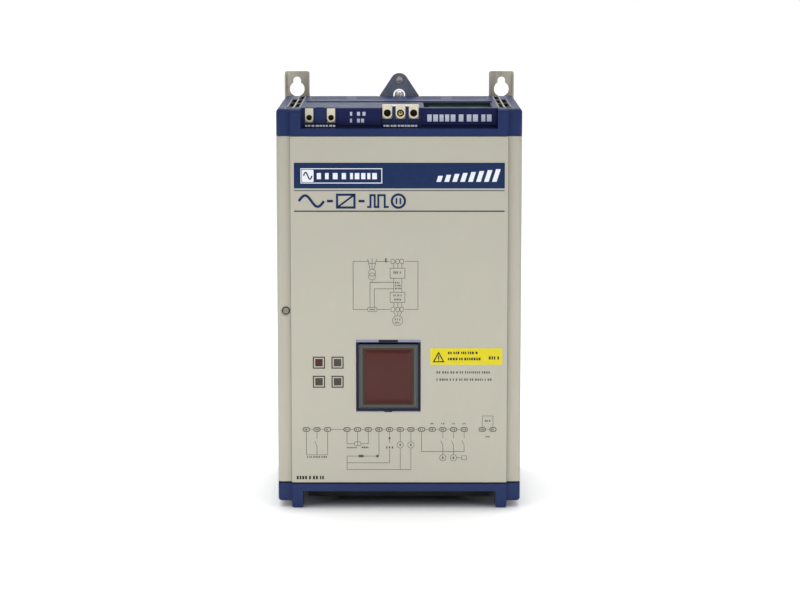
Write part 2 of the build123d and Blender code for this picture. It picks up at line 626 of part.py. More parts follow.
def control_terminal_blocks():
    blocks = []
    for first, count in CONTROL_GROUPS:
        x = (first - CONTROL_PITCH / 2, first + (count - 0.5) * CONTROL_PITCH)
        body = block(x, (-86.0, BOARD_Y[0]), CONTROL_Z)
        for i in range(count):
            centre = first + i * CONTROL_PITCH
            body -= rod_y(centre, CONTROL_HOLE_Z, 2.6, (-87.0, -80.0))
            body -= rod_y(centre, CONTROL_HOLE_Z, 1.3, (-81.0, -74.0))
            body -= block((centre - 3.4, centre + 3.4), (-84.0, -76.0), (CONTROL_Z[0] - 1, CONTROL_Z[0] + 6))
        blocks.append(body)
    return group(blocks)


def control_terminal_screws():
    screws = []
    for first, count in CONTROL_GROUPS:
        for i in range(count):
            x = first + i * CONTROL_PITCH
            screws.append(slotted_screw(x, CONTROL_HOLE_Z, 2.4, (-82.5, -80.0), 1.2, -75.0))
    return group(screws)


def relays():
    return group([block((x - 8, x + 8), (-88.0, BOARD_Y[0]), (96.0, 125.0)) for x in (-78.0, -58.0)])


def logic_chips():
    places = ((-60.0, 290.0, 50.0, 14.0), (10.0, 290.0, 36.0, 14.0), (10.0, 260.0, 36.0, 14.0),
              (-60.0, 250.0, 24.0, 8.0), (-30.0, 220.0, 24.0, 8.0), (20.0, 210.0, 24.0, 8.0))
    return group([block((x - w / 2, x + w / 2), (-76.0, BOARD_Y[0]), (z - h / 2, z + h / 2))
                  for x, z, w, h in places])


def board_connector():
    """Stacking connector between the control board and the power board, through the tray's window."""
    return block((44.0, 80.0), (BOARD_Y[1], POWER_BOARD_Y[0]), (266.0, 276.0))


def selector_body():
    body = block((56.0, 76.0), (-80.0, BOARD_Y[0]), (118.0, 130.0))
    return body - block((59.0, 73.0), (-81.0, -76.0), (121.0, 127.0))


def selector_slider():
    thumb = block((61.5, 64.5), (-84.0, -80.0), (122.5, 125.5))
    return thumb + block((59.5, 66.5), (-80.0, -76.4), (121.3, 126.7))


# ---------------------------------------------------------------- power level
def power_board():
    body = block((-86.0, 86.0), POWER_BOARD_Y, (62.0, 350.0))
    for x, z in POWER_POSTS:
        body -= rod_y(x, z, 1.5 + FIT, (-3.0, 1.0))
    return body


def igbt_module():
    body = block((-60.0, 34.0), (POWER_BOARD_Y[1], SINK_BASE[0]), (110.0, 170.0))
    return fillet(body.edges().filter_by(Axis.Y), 3.0)


def rectifier_module():
    body = block((-40.0, 20.0), (POWER_BOARD_Y[1], SINK_BASE[0]), (250.0, 290.0))
    return fillet(body.edges().filter_by(Axis.Y), 3.0)


def capacitors():
    cans = []
    for x, z in ((-52.0, 200.0), (-8.0, 200.0), (-52.0, 244.0), (-8.0, 244.0)):
        can = rod_y(x, z, 19.0, (-55.0, POWER_BOARD_Y[0]))
        cans.append(fillet(can.faces().sort_by(Axis.Y)[0].edges(), 1.5))
    return group(cans)


def transformer():
    core = block((34.0, 70.0), (-34.0, POWER_BOARD_Y[0]), (180.0, 216.0))
    return core + block((40.0, 64.0), (-40.0, -8.0), (174.0, 222.0))


def current_sensors():
    sensors = []
    for x in (-40.0, -5.0, 30.0):
        ring = rod_y(x, 96.0, 12.0, (-16.0, POWER_BOARD_Y[0])) - rod_y(x, 96.0, 5.0, (-18.0, 0.0))
        sensors.append(ring)
    return group(sensors)


# ---------------------------------------------------------------- cooling fans
def fan_corners(x):
    return [(x + a * FAN_HOLE, FAN_Y + b * FAN_HOLE) for a in (-1, 1) for b in (-1, 1)]


def fan_plate():
    body = block((-RAIL_X[0], RAIL_X[0]), (SINK_BASE[1], FIN_REAR), (FAN_Z[1], FAN_Z[1] + SHEET))
    for x in (-FAN_X, FAN_X):
        body -= rod_z(x, FAN_Y, FAN_BORE, (FAN_Z[1] - 1, FAN_Z[1] + 3))
        for cx, cy in fan_corners(x):
            body -= rod_z(cx, cy, 2.0 + FIT, (FAN_Z[1] - 1, FAN_Z[1] + 3))
    return body


def fan_frame(x):
    half = FAN_SIZE / 2
    body = block((x - half, x + half), (FAN_Y - half, FAN_Y + half), FAN_Z)
    body = fillet(body.edges().filter_by(Axis.Z), 4.0)
    body -= rod_z(x, FAN_Y, FAN_BORE, (FAN_Z[0] - 1, FAN_Z[1] + 1))
    body += rod_z(x, FAN_Y, 13.0, (FAN_Z[0], FAN_Z[0] + 2.5))
    for angle in (30, 150, 270):
        strut = block((10.0, FAN_BORE + 1), (-1.6, 1.6), (FAN_Z[0], FAN_Z[0] + 2.5))
        body += Pos(x, FAN_Y, 0) * Rot(0, 0, angle) * strut
    body += rod_z(x, FAN_Y, 1.5, (FAN_Z[0], FAN_Z[1] - 5))
    for cx, cy in fan_corners(x):
        body -= rod_z(cx, cy, 2.0 + FIT, (FAN_Z[0] - 1, FAN_Z[1] + 1))
    return body


def fan_rotor(x):
    low, high = FAN_Z[0] + 3.5, FAN_Z[1] - 1.0
    body = rod_z(0, 0, 13.0, (low, high))
    for i in range(BLADES):
        blade = Pos(19.1, 0, (low + high) / 2) * Rot(38, 0, 0) * Box(15.6, 19.0, 1.6)
        body += Rot(0, 0, i * 360 / BLADES) * blade
    body -= rod_z(0, 0, 1.5 + PIN_PLAY, (low - 1, high - 3.5))
    return Pos(x, FAN_Y, 0) * body


def fan_guards():
    guards = []
    for x in (-FAN_X, FAN_X):
        z = (FAN_Z[0] - GUARD_WIRE, FAN_Z[0])
        shapes = [rod_z(x, FAN_Y, radius + GUARD_WIRE / 2, z) - rod_z(x, FAN_Y, radius - GUARD_WIRE / 2, z)
                  for radius in (10.0, 17.5, 25.0)]
        for cx, cy in fan_corners(x):
            shapes.append(rod_z(cx, cy, 4.0, z))
        for angle in (45, 135, 225, 315):
            wire = block((10.0, FAN_HOLE * math.sqrt(2) - 2.5), (-GUARD_WIRE / 2, GUARD_WIRE / 2), z)
            shapes.append(Pos(x, FAN_Y, 0) * Rot(0, 0, angle) * wire)
        guard = join(shapes)
        for cx, cy in fan_corners(x):
            guard -= rod_z(cx, cy, 2.0 + FIT, (z[0] - 2, z[1] + 2))
        guards.append(guard)
    return group(guards)


def fan_screws():
    screws = []
    for x in (-FAN_X, FAN_X):
        for cx, cy in fan_corners(x):
            z = FAN_Z[0] - GUARD_WIRE
            screws.append(rod_z(cx, cy, 3.4, (z - 2, z)) + rod_z(cx, cy, 2.0, (z, FAN_Z[1] + 3)))
    return group(screws)


# ---------------------------------------------------------------- all nodes
def build():
    right_panel, lug_top, lug_bottom = side_panel(), mounting_lug_top(), mounting_lug_bottom()
    red, *green = STATUS
    nodes = {
        "top_cap": top_cap(),
        "bottom_cap": bottom_cap(),
        "side_panel_left": mirrored(right_panel),
        "side_panel_right": right_panel,
        "heat_sink": heat_sink(),
        "mounting_lug_top_left": mirrored(lug_top),
        "mounting_lug_top_right": lug_top,
        "mounting_lug_bottom_left": mirrored(lug_bottom),
        "mounting_lug_bottom_right": lug_bottom,
        "lug_screws": lug_screws(),
        "lifting_eye": lifting_eye(),
        "lifting_eye_bolts": lifting_eye_bolts(),
        "dc_terminal_block": dc_terminal_block(),
        "line_terminal_block": line_terminal_block(),
        "top_terminal_screws": top_terminal_screws(),
        "motor_terminal_block": motor_terminal_block(),
        "motor_terminal_screws": motor_terminal_screws(),
        "earth_stud": earth_stud(),
        "rating_plate_left": rating_plate(-61.7, -17.6),
        "rating_plate_right": rating_plate(22.0, 97.6),
        "option_card": option_card(),
        "front_cover": cover(),
        "cover_hinge_pins": hinge_pins(),
        "cover_screw": cover_screw(),
        "latch_fork": latch_fork(),
        "window_bezel": window_bezel(),
        "display_flap": display_flap(),
        "status_lens_red": status_lens(*red),
        "status_lenses_green": group([status_lens(*place) for place in green]),
        "control_tray": control_tray(),
        "tray_standoffs": tray_standoffs(),
        "control_board": control_board(),
        "board_pillars": board_pillars(),
        "board_screws": board_screws(),
        "display_housing": display_housing(),
        "digit_module": digit_module(),
        "status_leds": status_leds(),
        "control_terminal_blocks": control_terminal_blocks(),
        "control_terminal_screws": control_terminal_screws(),
        "relays": relays(),
        "logic_chips": logic_chips(),
        "board_connector": board_connector(),
        "selector_body": selector_body(),
        "selector_slider": selector_slider(),
        "power_board": power_board(),
        "igbt_module": igbt_module(),
        "rectifier_module": rectifier_module(),
        "capacitors": capacitors(),
        "transformer": transformer(),
        "current_sensors": current_sensors(),
        "fan_plate": fan_plate(),
        "fan_guards": fan_guards(),
        "fan_screws": fan_screws(),
    }
    for name, x in zip(("key_data", "key_up", "key_down"), key_places()):
        nodes[name] = key(x)
    return nodes


def build_fans():
    nodes = {}
    for name, x in (("left", -FAN_X), ("right", FAN_X)):
        nodes[f"fan_frame_{name}"] = fan_frame(x)
        nodes[f"fan_rotor_{name}"] = fan_rotor(x)
    return nodes


os.makedirs("parts", exist_ok=True)
for node, shape in {**build(), **build_fans()}.items():
    export_step(shape, f"parts/{node}.step")
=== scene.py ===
"""Looks of a wall-mounted variable frequency drive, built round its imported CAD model.

Sizes are in millimetres and are turned to metres where a mesh is made; only the studio is given in metres.
"""

import logging
import math
import random
from dataclasses import dataclass
from enum import Enum
from typing import Iterable, Sequence

import bmesh
import bpy
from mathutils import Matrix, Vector


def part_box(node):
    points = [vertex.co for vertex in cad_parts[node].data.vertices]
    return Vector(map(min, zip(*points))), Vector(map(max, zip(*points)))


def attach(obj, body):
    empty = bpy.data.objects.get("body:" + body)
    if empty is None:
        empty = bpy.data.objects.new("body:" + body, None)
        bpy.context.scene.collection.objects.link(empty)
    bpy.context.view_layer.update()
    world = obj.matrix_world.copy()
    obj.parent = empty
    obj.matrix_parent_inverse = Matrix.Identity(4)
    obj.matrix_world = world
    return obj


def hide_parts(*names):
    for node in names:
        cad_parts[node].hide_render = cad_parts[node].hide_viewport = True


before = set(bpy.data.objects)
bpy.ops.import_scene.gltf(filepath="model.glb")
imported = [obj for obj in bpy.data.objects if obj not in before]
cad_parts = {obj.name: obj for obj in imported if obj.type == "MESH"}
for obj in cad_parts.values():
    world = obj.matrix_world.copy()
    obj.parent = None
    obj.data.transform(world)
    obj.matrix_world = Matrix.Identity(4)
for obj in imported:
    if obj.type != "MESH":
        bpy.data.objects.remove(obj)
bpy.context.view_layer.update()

LOG = logging.getLogger("drive")
MM = 0.001
ROOT = "root"
COVER = "front_cover"
FLAP = "display_flap"

Point = tuple[float, float]
Colour = tuple[float, float, float]

MIDDLE: Point = (0.3, 0.7)  # where most values of a noise texture lie
WHOLE: Point = (0.0, 1.0)
PLASTIC_IOR = 1.49
COVER_FACE = -104.7  # where the front cover's face lies along Y


def srgb(red: int, green: int, blue: int) -> Colour:
    """Turn a display colour into the linear one that shaders take.

    Args:
        red: Red from 0 to 255.
        green: Green from 0 to 255.
        blue: Blue from 0 to 255.

    Returns:
        The linear colour, each channel from 0 to 1.
    """
    return tuple(((c / 255 + 0.055) / 1.055) ** 2.4 if c > 10 else c / 255 / 12.92
                 for c in (red, green, blue))


# ------------------------------------------------------------------ finishes
class Grain(Enum):
    """How the fine surface texture of a finish runs."""

    EVEN = (1.0, 1.0, 1.0)
    ALONG_Z = (1.0, 1.0, 0.04)


class Nodes:
    """A new material with a Principled shader, and short calls for the nodes that the finishes share."""

    def __init__(self, name: str) -> None:
        """Start the material.

        Args:
            name: The material's name.
        """
        self.material = bpy.data.materials.new(name)
        self.material.use_nodes = True
        self.tree = self.material.node_tree
        self.tree.nodes.clear()
        self.shader = self.add("ShaderNodeBsdfPrincipled")
        output = self.add("ShaderNodeOutputMaterial")
        self.link(self.shader.outputs["BSDF"], output.inputs["Surface"])
        self.place = self.add("ShaderNodeTexCoord").outputs["Object"]

    def add(self, kind: str) -> bpy.types.Node:
        """Add one node of the given kind."""
        return self.tree.nodes.new(kind)

    def link(self, source: bpy.types.NodeSocket, target: bpy.types.NodeSocket) -> None:
        """Join two sockets."""
        self.tree.links.new(source, target)

    def set(self, **values: object) -> None:
        """Set sockets of the shader; an underscore in a name stands for a space."""
        for name, value in values.items():
            self.shader.inputs[name.replace("_", " ")].default_value = value

    def stretched(self, stretch: Sequence[float]) -> bpy.types.NodeSocket:
        """Give the object's coordinates scaled along each axis.

        Args:
            stretch: Scale along each axis.

        Returns:
            The scaled coordinates.
        """
        mapping = self.add("ShaderNodeMapping")
        mapping.inputs["Scale"].default_value = stretch
        self.link(self.place, mapping.inputs["Vector"])
        return mapping.outputs["Vector"]

    def noise(self, scale: float, detail: float = 3.0,
              stretch: Sequence[float] = (1, 1, 1)) -> bpy.types.NodeSocket:
        """Add a noise texture.

        Args:
            scale: Features per metre.
            detail: Octaves of finer noise.
            stretch: Scale of the coordinates along each axis.

        Returns:
            The noise value, about 0.5 on average.
        """
        node = self.add("ShaderNodeTexNoise")
        node.inputs["Scale"].default_value = scale
        node.inputs["Detail"].default_value = detail
        self.link(self.stretched(stretch), node.inputs["Vector"])
        return node.outputs["Fac"]

    def cells(self, scale: float) -> bpy.types.NodeSocket:
        """Add a Voronoi texture.

        Args:
            scale: Cells per metre.

        Returns:
            The distance from the middle of each cell.
        """
        node = self.add("ShaderNodeTexVoronoi")
        node.inputs["Scale"].default_value = scale
        self.link(self.place, node.inputs["Vector"])
        return node.outputs["Distance"]

    def spread(self, value: bpy.types.NodeSocket, source: Point, target: Point) -> bpy.types.NodeSocket:
        """Map a value from one range to another, clamped.

        Args:
            value: The value.
            source: The range that it comes in.
            target: The range that it is mapped to.

        Returns:
            The mapped value.
        """
        node = self.add("ShaderNodeMapRange")
        for name, number in zip(("From Min", "From Max", "To Min", "To Max"), (*source, *target)):
            node.inputs[name].default_value = number
        self.link(value, node.inputs["Value"])
        return node.outputs["Result"]

    def blend(self, share: bpy.types.NodeSocket, first: object, second: object) -> bpy.types.NodeSocket:
        """Mix two colours; each may be a colour or a socket.

        Args:
            share: The share of the second colour, from 0 to 1.
            first: The first colour.
            second: The second colour.

        Returns:
            The mixed colour.
        """
        node = self.add("ShaderNodeMix")
        node.data_type = "RGBA"
        self.link(share, node.inputs["Factor"])
        for socket, value in ((node.inputs[6], first), (node.inputs[7], second)):
            if isinstance(value, bpy.types.NodeSocket):
                self.link(value, socket)
            else:
                socket.default_value = (*value, 1.0)
        return node.outputs[2]

    def mottle(self, value: bpy.types.NodeSocket, tone: Colour, unevenness: float) -> bpy.types.NodeSocket:
        """Make a colour a little darker and lighter by a noise value.

        Args:
            value: The noise value.
            tone: The colour.
            unevenness: The share by which its brightness goes down and up.

        Returns:
            The uneven colour.
        """
        return self.blend(self.spread(value, MIDDLE, WHOLE), shade(tone, 1 - unevenness),
                          shade(tone, 1 + unevenness))

    def colour(self, socket: bpy.types.NodeSocket) -> None:
        """Give the shader its colour."""
        self.link(socket, self.shader.inputs["Base Color"])

    def roughness(self, socket: bpy.types.NodeSocket) -> None:
        """Give the shader its roughness."""
        self.link(socket, self.shader.inputs["Roughness"])

    def relief(self, height: bpy.types.NodeSocket, distance: float, strength: float = 1.0) -> None:
        """Bump the surface.

        Args:
            height: The height from 0 to 1.
            distance: How high 1 stands, in millimetres.
            strength: The share of the bump that shows.
        """
        node = self.add("ShaderNodeBump")
        node.inputs["Distance"].default_value = distance * MM
        node.inputs["Strength"].default_value = strength
        self.link(height, node.inputs["Height"])
        self.link(node.outputs["Normal"], self.shader.inputs["Normal"])


def shade(colour: Colour, factor: float) -> Colour:
    """Scale a colour's brightness, kept under 1."""
    return tuple(min(1.0, c * factor) for c in colour)


@dataclass(frozen=True)
class Moulding:
    """Moulded plastic or textured paint: fine grain, faint clouding and rubbed patches that shine more."""

    name: str
    tone: Colour
    rough: float = 0.5
    grain: float = 0.03
    grains_per_metre: float = 1700.0
    clouding: float = 0.05
    gloss: float = 0.5
    clouds_per_metre: float = 9.0
    rubs_per_metre: float = 55.0
    dusting: float = 1.12

    def material(self) -> bpy.types.Material:
        """Build the material."""
        nodes = Nodes(self.name)
        cloud = nodes.noise(self.clouds_per_metre, 4.0)
        rub = nodes.noise(self.rubs_per_metre, 5.0)
        tint = nodes.mottle(cloud, self.tone, self.clouding)
        dusty = nodes.spread(rub, (0.62, 0.8), (0.0, 0.25))
        nodes.colour(nodes.blend(dusty, tint, shade(self.tone, self.dusting)))
        nodes.roughness(nodes.spread(rub, (0.35, 0.7), (self.rough * 1.08, self.rough * 0.88)))
        nodes.relief(nodes.noise(self.grains_per_metre, 2.0), self.grain, 0.6)
        nodes.set(Specular_IOR_Level=self.gloss, IOR=PLASTIC_IOR)
        return nodes.material


@dataclass(frozen=True)
class Metal:
    """Rolled, plated, cast or turned metal with streaks along its grain and dull spots."""

    name: str
    tone: Colour
    rough: float = 0.35
    run: Grain = Grain.EVEN
    streaks: float = 420.0
    spread_tone: float = 0.12
    relief: float = 0.02
    spots_per_metre: float = 70.0
    dulling: float = 0.72

    def material(self) -> bpy.types.Material:
        """Build the material."""
        nodes = Nodes(self.name)
        streak = nodes.noise(self.streaks, 4.0, self.run.value)
        spots = nodes.noise(self.spots_per_metre, 5.0)
        base = nodes.mottle(streak, self.tone, self.spread_tone)
        dull = nodes.spread(spots, (0.5, 0.75), (0.0, 0.45))
        nodes.colour(nodes.blend(dull, base, shade(self.tone, self.dulling)))
        nodes.roughness(nodes.spread(spots, (0.3, 0.75), (self.rough * 0.8, self.rough * 1.35)))
        nodes.relief(streak, self.relief, 0.7)
        nodes.set(Metallic=1.0)
        return nodes.material


@dataclass(frozen=True)
class Ink:
    """Screen-printed ink: nearly flat, a little uneven in density, smoother than the plastic under it."""

    name: str
    tone: Colour
    rough: float = 0.42
    unevenness: float = 0.10
    patches_per_metre: float = 240.0
    grains_per_metre: float = 1400.0

    def material(self) -> bpy.types.Material:
        """Build the material."""
        nodes = Nodes(self.name)
        density = nodes.noise(self.patches_per_metre, 4.0)
        nodes.colour(nodes.mottle(density, self.tone, self.unevenness))
        nodes.roughness(nodes.spread(density, MIDDLE, (self.rough * 1.15, self.rough * 0.85)))
        nodes.relief(nodes.noise(self.grains_per_metre, 2.0), 0.01, 0.5)
        nodes.set(Specular_IOR_Level=0.2)
        return nodes.material


@dataclass(frozen=True)
class Lens:
    """Tinted clear plastic, smoked so that what is behind only shows faintly."""

    name: str
    tone: Colour
    clear: float = 0.3
    rough: float = 0.16
    ribs_per_metre: float = 0.0
    haze_per_metre: float = 40.0
    unevenness: float = 0.03
    gloss: float = 0.12

    def material(self) -> bpy.types.Material:
        """Build the material."""
        nodes = Nodes(self.name)
        haze = nodes.noise(self.haze_per_metre, 4.0)
        nodes.colour(nodes.mottle(haze, self.tone, self.unevenness))
        nodes.roughness(nodes.spread(haze, MIDDLE, (self.rough * 0.92, self.rough * 1.1)))
        if self.ribs_per_metre:
            nodes.relief(nodes.cells(self.ribs_per_metre), 0.15, 0.8)
        nodes.set(Transmission_Weight=self.clear, IOR=PLASTIC_IOR, Specular_IOR_Level=self.gloss)
        return nodes.material


@dataclass(frozen=True)
class Laminate:
    """Circuit board: solder mask with paler tracks under it, over a woven core."""

    name: str
    tone: Colour
    tracks_per_metre: float = 210.0
    track_width: float = 0.06
    patches_per_metre: float = 45.0
    weave_per_metre: float = 900.0

    def material(self) -> bpy.types.Material:
        """Build the material."""
        nodes = Nodes(self.name)
        brick = nodes.add("ShaderNodeTexBrick")
        brick.inputs["Scale"].default_value = self.tracks_per_metre
        brick.inputs["Mortar Size"].default_value = self.track_width
        for name, factor in (("Color1", 0.85), ("Color2", 1.0), ("Mortar", 1.9)):
            brick.inputs[name].default_value = (*shade(self.tone, factor), 1.0)
        turned = nodes.add("ShaderNodeMapping")
        turned.inputs["Rotation"].default_value = (math.pi / 2, 0.0, 0.0)
        nodes.link(nodes.place, turned.inputs["Vector"])
        nodes.link(turned.outputs["Vector"], brick.inputs["Vector"])
        patches = nodes.spread(nodes.noise(self.patches_per_metre, 3.0), (0.45, 0.55), WHOLE)
        nodes.colour(nodes.blend(patches, self.tone, brick.outputs["Color"]))
        nodes.relief(nodes.noise(self.weave_per_metre, 2.0), 0.03, 0.5)
        nodes.set(Roughness=0.35)
        return nodes.material


@dataclass(frozen=True)
class Winding:
    """Varnished copper wire laid in even turns."""

    name: str
    tone: Colour
    turns_per_metre: float = 900.0

    def material(self) -> bpy.types.Material:
        """Build the material."""
        nodes = Nodes(self.name)
        wave = nodes.add("ShaderNodeTexWave")
        wave.bands_direction = "Z"
        wave.inputs["Scale"].default_value = self.turns_per_metre / 3
        nodes.link(nodes.place, wave.inputs["Vector"])
        # Painted shade between the turns and painted highlight on them: the colour follows the same waves as
        # the bump.
        nodes.colour(nodes.blend(wave.outputs["Fac"], shade(self.tone, 0.55), shade(self.tone, 1.2)))
        nodes.relief(wave.outputs["Fac"], 0.25)
        nodes.set(Roughness=0.3, Metallic=0.5)
        return nodes.material


class Finishes:
    """Every finish of the drive, built once and kept by name."""

    blue = Moulding("blue_moulding", srgb(28, 44, 86), rough=0.42, grain=0.03, gloss=0.18)
    beige = Moulding("beige_moulding", srgb(177, 174, 160), rough=0.6, grain=0.025, clouding=0.012, gloss=0.2)
    panel_paint = Moulding("beige_paint", srgb(176, 173, 159), rough=0.5, grain=0.05, grains_per_metre=900.0)
    navy = Moulding("navy_moulding", srgb(7, 9, 40), rough=0.35, grain=0.015, gloss=0.15)
    plate = Moulding("navy_plate", srgb(19, 26, 72), rough=0.42, grain=0.02, gloss=0.15)
    cream = Moulding("cream_moulding", srgb(214, 206, 184), rough=0.45, grain=0.02)
    black = Moulding("black_moulding", srgb(38, 38, 41), rough=0.45, grain=0.03)
    key_grey = Moulding("key_grey", srgb(150, 152, 156), rough=0.5, grain=0.02)
    rubber = Moulding("black_rubber", srgb(28, 28, 30), rough=0.75, grain=0.05)
    sleeve = Moulding("can_sleeve", srgb(40, 62, 118), rough=0.25, grain=0.01)
    ceramic = Moulding("ceramic_white", srgb(222, 218, 206), rough=0.6, grain=0.03)
    resistor = Moulding("resistor_body", srgb(186, 160, 118), rough=0.4, grain=0.01)
    zinc = Metal("zinc_steel", srgb(204, 198, 180), rough=0.46, run=Grain.ALONG_Z, spread_tone=0.14)
    plated = Metal("plated_screw", srgb(186, 184, 178), rough=0.3, streaks=900.0)
    grey_steel = Metal("grey_steel", srgb(138, 142, 158), rough=0.5, spread_tone=0.10)
    aluminium = Metal("extruded_aluminium", srgb(190, 192, 196), rough=0.4, run=Grain.ALONG_Z, streaks=700.0)
    brass = Metal("turned_brass", srgb(204, 178, 104), rough=0.28, streaks=1500.0)
    can = Metal("can_top", srgb(205, 206, 208), rough=0.3, streaks=900.0)
    smoked = Lens("smoked_red", srgb(72, 30, 26), clear=0.05, rough=0.3)
    rim = Lens("smoked_rim", srgb(62, 70, 80), clear=0.1, rough=0.3)
    rim_grey = Lens("smoked_rim_grey", srgb(80, 81, 78), clear=0.05, rough=0.35)
    # Pale blue-grey of the bezel lips: painted highlights.
    lip = Moulding("bezel_painted_highlight", srgb(120, 122, 152), rough=0.4, grain=0.01)
    rim_shade = Lens("smoked_rim_inner", srgb(62, 50, 40), clear=0.05, rough=0.4)
    lens_red = Lens("status_red", srgb(82, 46, 42), clear=0.1, rough=0.3, ribs_per_metre=900.0)
    lens_green = Lens("status_green", srgb(78, 74, 66), clear=0.1, rough=0.3, ribs_per_metre=900.0)
    led = Lens("led_body", srgb(196, 60, 48), clear=0.5, rough=0.12)
    digit_face = Lens("digit_face", srgb(70, 18, 20), clear=0.1, rough=0.2)
    board = Laminate("circuit_board", srgb(24, 82, 48))
    winding = Winding("winding", srgb(150, 84, 40))
    ink_navy = Ink("ink_navy", srgb(12, 38, 80))
    ink_white = Ink("ink_white", srgb(226, 228, 234), unevenness=0.03)
    ink_line = Ink("ink_line", srgb(84, 82, 80))
    ink_dark = Ink("ink_dark", srgb(58, 46, 44))
    label_yellow = Ink("label_yellow", srgb(208, 194, 6), rough=0.35, unevenness=0.03)
    # Painted shadow at the foot of the cover's panel steps.
    step_shadow = Moulding("painted_step_shadow", srgb(112, 106, 94), rough=0.7, grain=0.01)
    # Brass darkened as painted shade, for screws deep in the terminal holes and for screw slots.
    painted_shade_brass = Metal("brass_in_painted_shade", srgb(58, 50, 32), rough=0.45, streaks=900.0)
    ink_black = Ink("ink_black", srgb(30, 28, 26))
    ink_pale = Ink("ink_pale", srgb(186, 190, 204), unevenness=0.05)
    segment = Ink("segment_red", srgb(168, 70, 66), rough=0.3)
    # Pale rims round the roof vent slots: painted edge highlights.
    vent_highlight = Moulding("vent_highlight", srgb(206, 204, 200), rough=0.5, clouding=0.2)
    washer_dark = Metal("washer_dark", srgb(70, 67, 60), rough=0.5, streaks=1200.0)
    screw_dark = Metal("screw_dark", srgb(118, 115, 106), rough=0.4, streaks=1200.0)
    zinc_flat = Metal("zinc_flat", srgb(168, 166, 158), rough=0.38, spread_tone=0.08)
    plated_bright = Metal("plated_bright", srgb(198, 198, 196), rough=0.26, streaks=1000.0)
    terminal_green = Moulding("terminal_green", srgb(52, 108, 70), rough=0.4, grain=0.02)
    relay_blue = Moulding("relay_blue", srgb(40, 74, 140), rough=0.3, grain=0.01)
    slider = Moulding("slider_white", srgb(226, 224, 216), rough=0.4, grain=0.01)

    _made: dict[str, bpy.types.Material] = {}

    @classmethod
    def get(cls, finish: object) -> bpy.types.Material:
        """Give a finish's material, building it the first time.

        Args:
            finish: One of the finishes of this class.

        Returns:
            The material.
        """
        if finish.name not in cls._made:
            cls._made[finish.name] = finish.material()
        return cls._made[finish.name]


# ------------------------------------------------------------------ mesh building
class Axis(Enum):
    """The direction that an outline is extruded or turned about."""

    X = "x"
    Y = "y"
    Z = "z"


def point_at(u: float, v: float, w: float, axis: Axis) -> Vector:
    """Place a point by its two outline coordinates and its distance along the axis.

    Args:
        u: First outline coordinate; it runs along Y for Axis.X and along X otherwise.
        v: Second outline coordinate; it runs along Y for Axis.Z and along Z otherwise.
        w: Distance along the axis.
        axis: The direction of w.

    Returns:
        The point.
    """
    if axis is Axis.X:
        return Vector((w, u, v))
    return Vector((u, w, v)) if axis is Axis.Y else Vector((u, v, w))


def arc(centre: Point, radius: float, start: float, end: float, steps: int) -> list[Point]:
    """Give points along an arc, its two ends included; angles are in degrees."""
    angles = [math.radians(start + (end - start) * i / steps) for i in range(steps + 1)]
    return [(centre[0] + radius * math.cos(a), centre[1] + radius * math.sin(a)) for a in angles]


def round_outline(centre: Point, radius: float, sides: int = 32) -> list[Point]:
    """Give the outline of a disc."""
    return arc(centre, radius, 0.0, 360.0 * (sides - 1) / sides, sides - 1)


def box_outline(x: Point, z: Point, radius: float = 0.0, steps: int = 4) -> list[Point]:
    """Give the outline of a rectangle, its corners rounded where a radius is given.

    Args:
        x: The two values of its first coordinate.
        z: The two values of its second coordinate.
        radius: Corner radius.
        steps: Straight runs in each corner.

    Returns:
        The outline's points, in order.
    """
    if radius <= 0:
        return [(x[0], z[0]), (x[1], z[0]), (x[1], z[1]), (x[0], z[1])]
    points: list[Point] = []
    corners = ((x[1] - radius, z[0] + radius, -90.0), (x[1] - radius, z[1] - radius, 0.0),
               (x[0] + radius, z[1] - radius, 90.0), (x[0] + radius, z[0] + radius, 180.0))
    for cx, cz, start in corners:
        points += arc((cx, cz), radius, start, start + 90.0, steps)
    return points


def around(middle: float, half: float) -> Point:
    """Give the two ends of a span from its middle and half its width."""
    return (middle - half, middle + half)


def grown(x: Point, z: Point, by: float, radius: float = 0.0, steps: int = 4) -> list[Point]:
    """Give the outline of a rectangle made larger on every side, or smaller where by is negative.

    Args:
        x: The two values of its first coordinate.
        z: The two values of its second coordinate.
        by: How far each side moves out.
        radius: Corner radius.
        steps: Straight runs in each corner.

    Returns:
        The outline's points, in order.
    """
    return box_outline((x[0] - by, x[1] + by), (z[0] - by, z[1] + by), radius, steps)


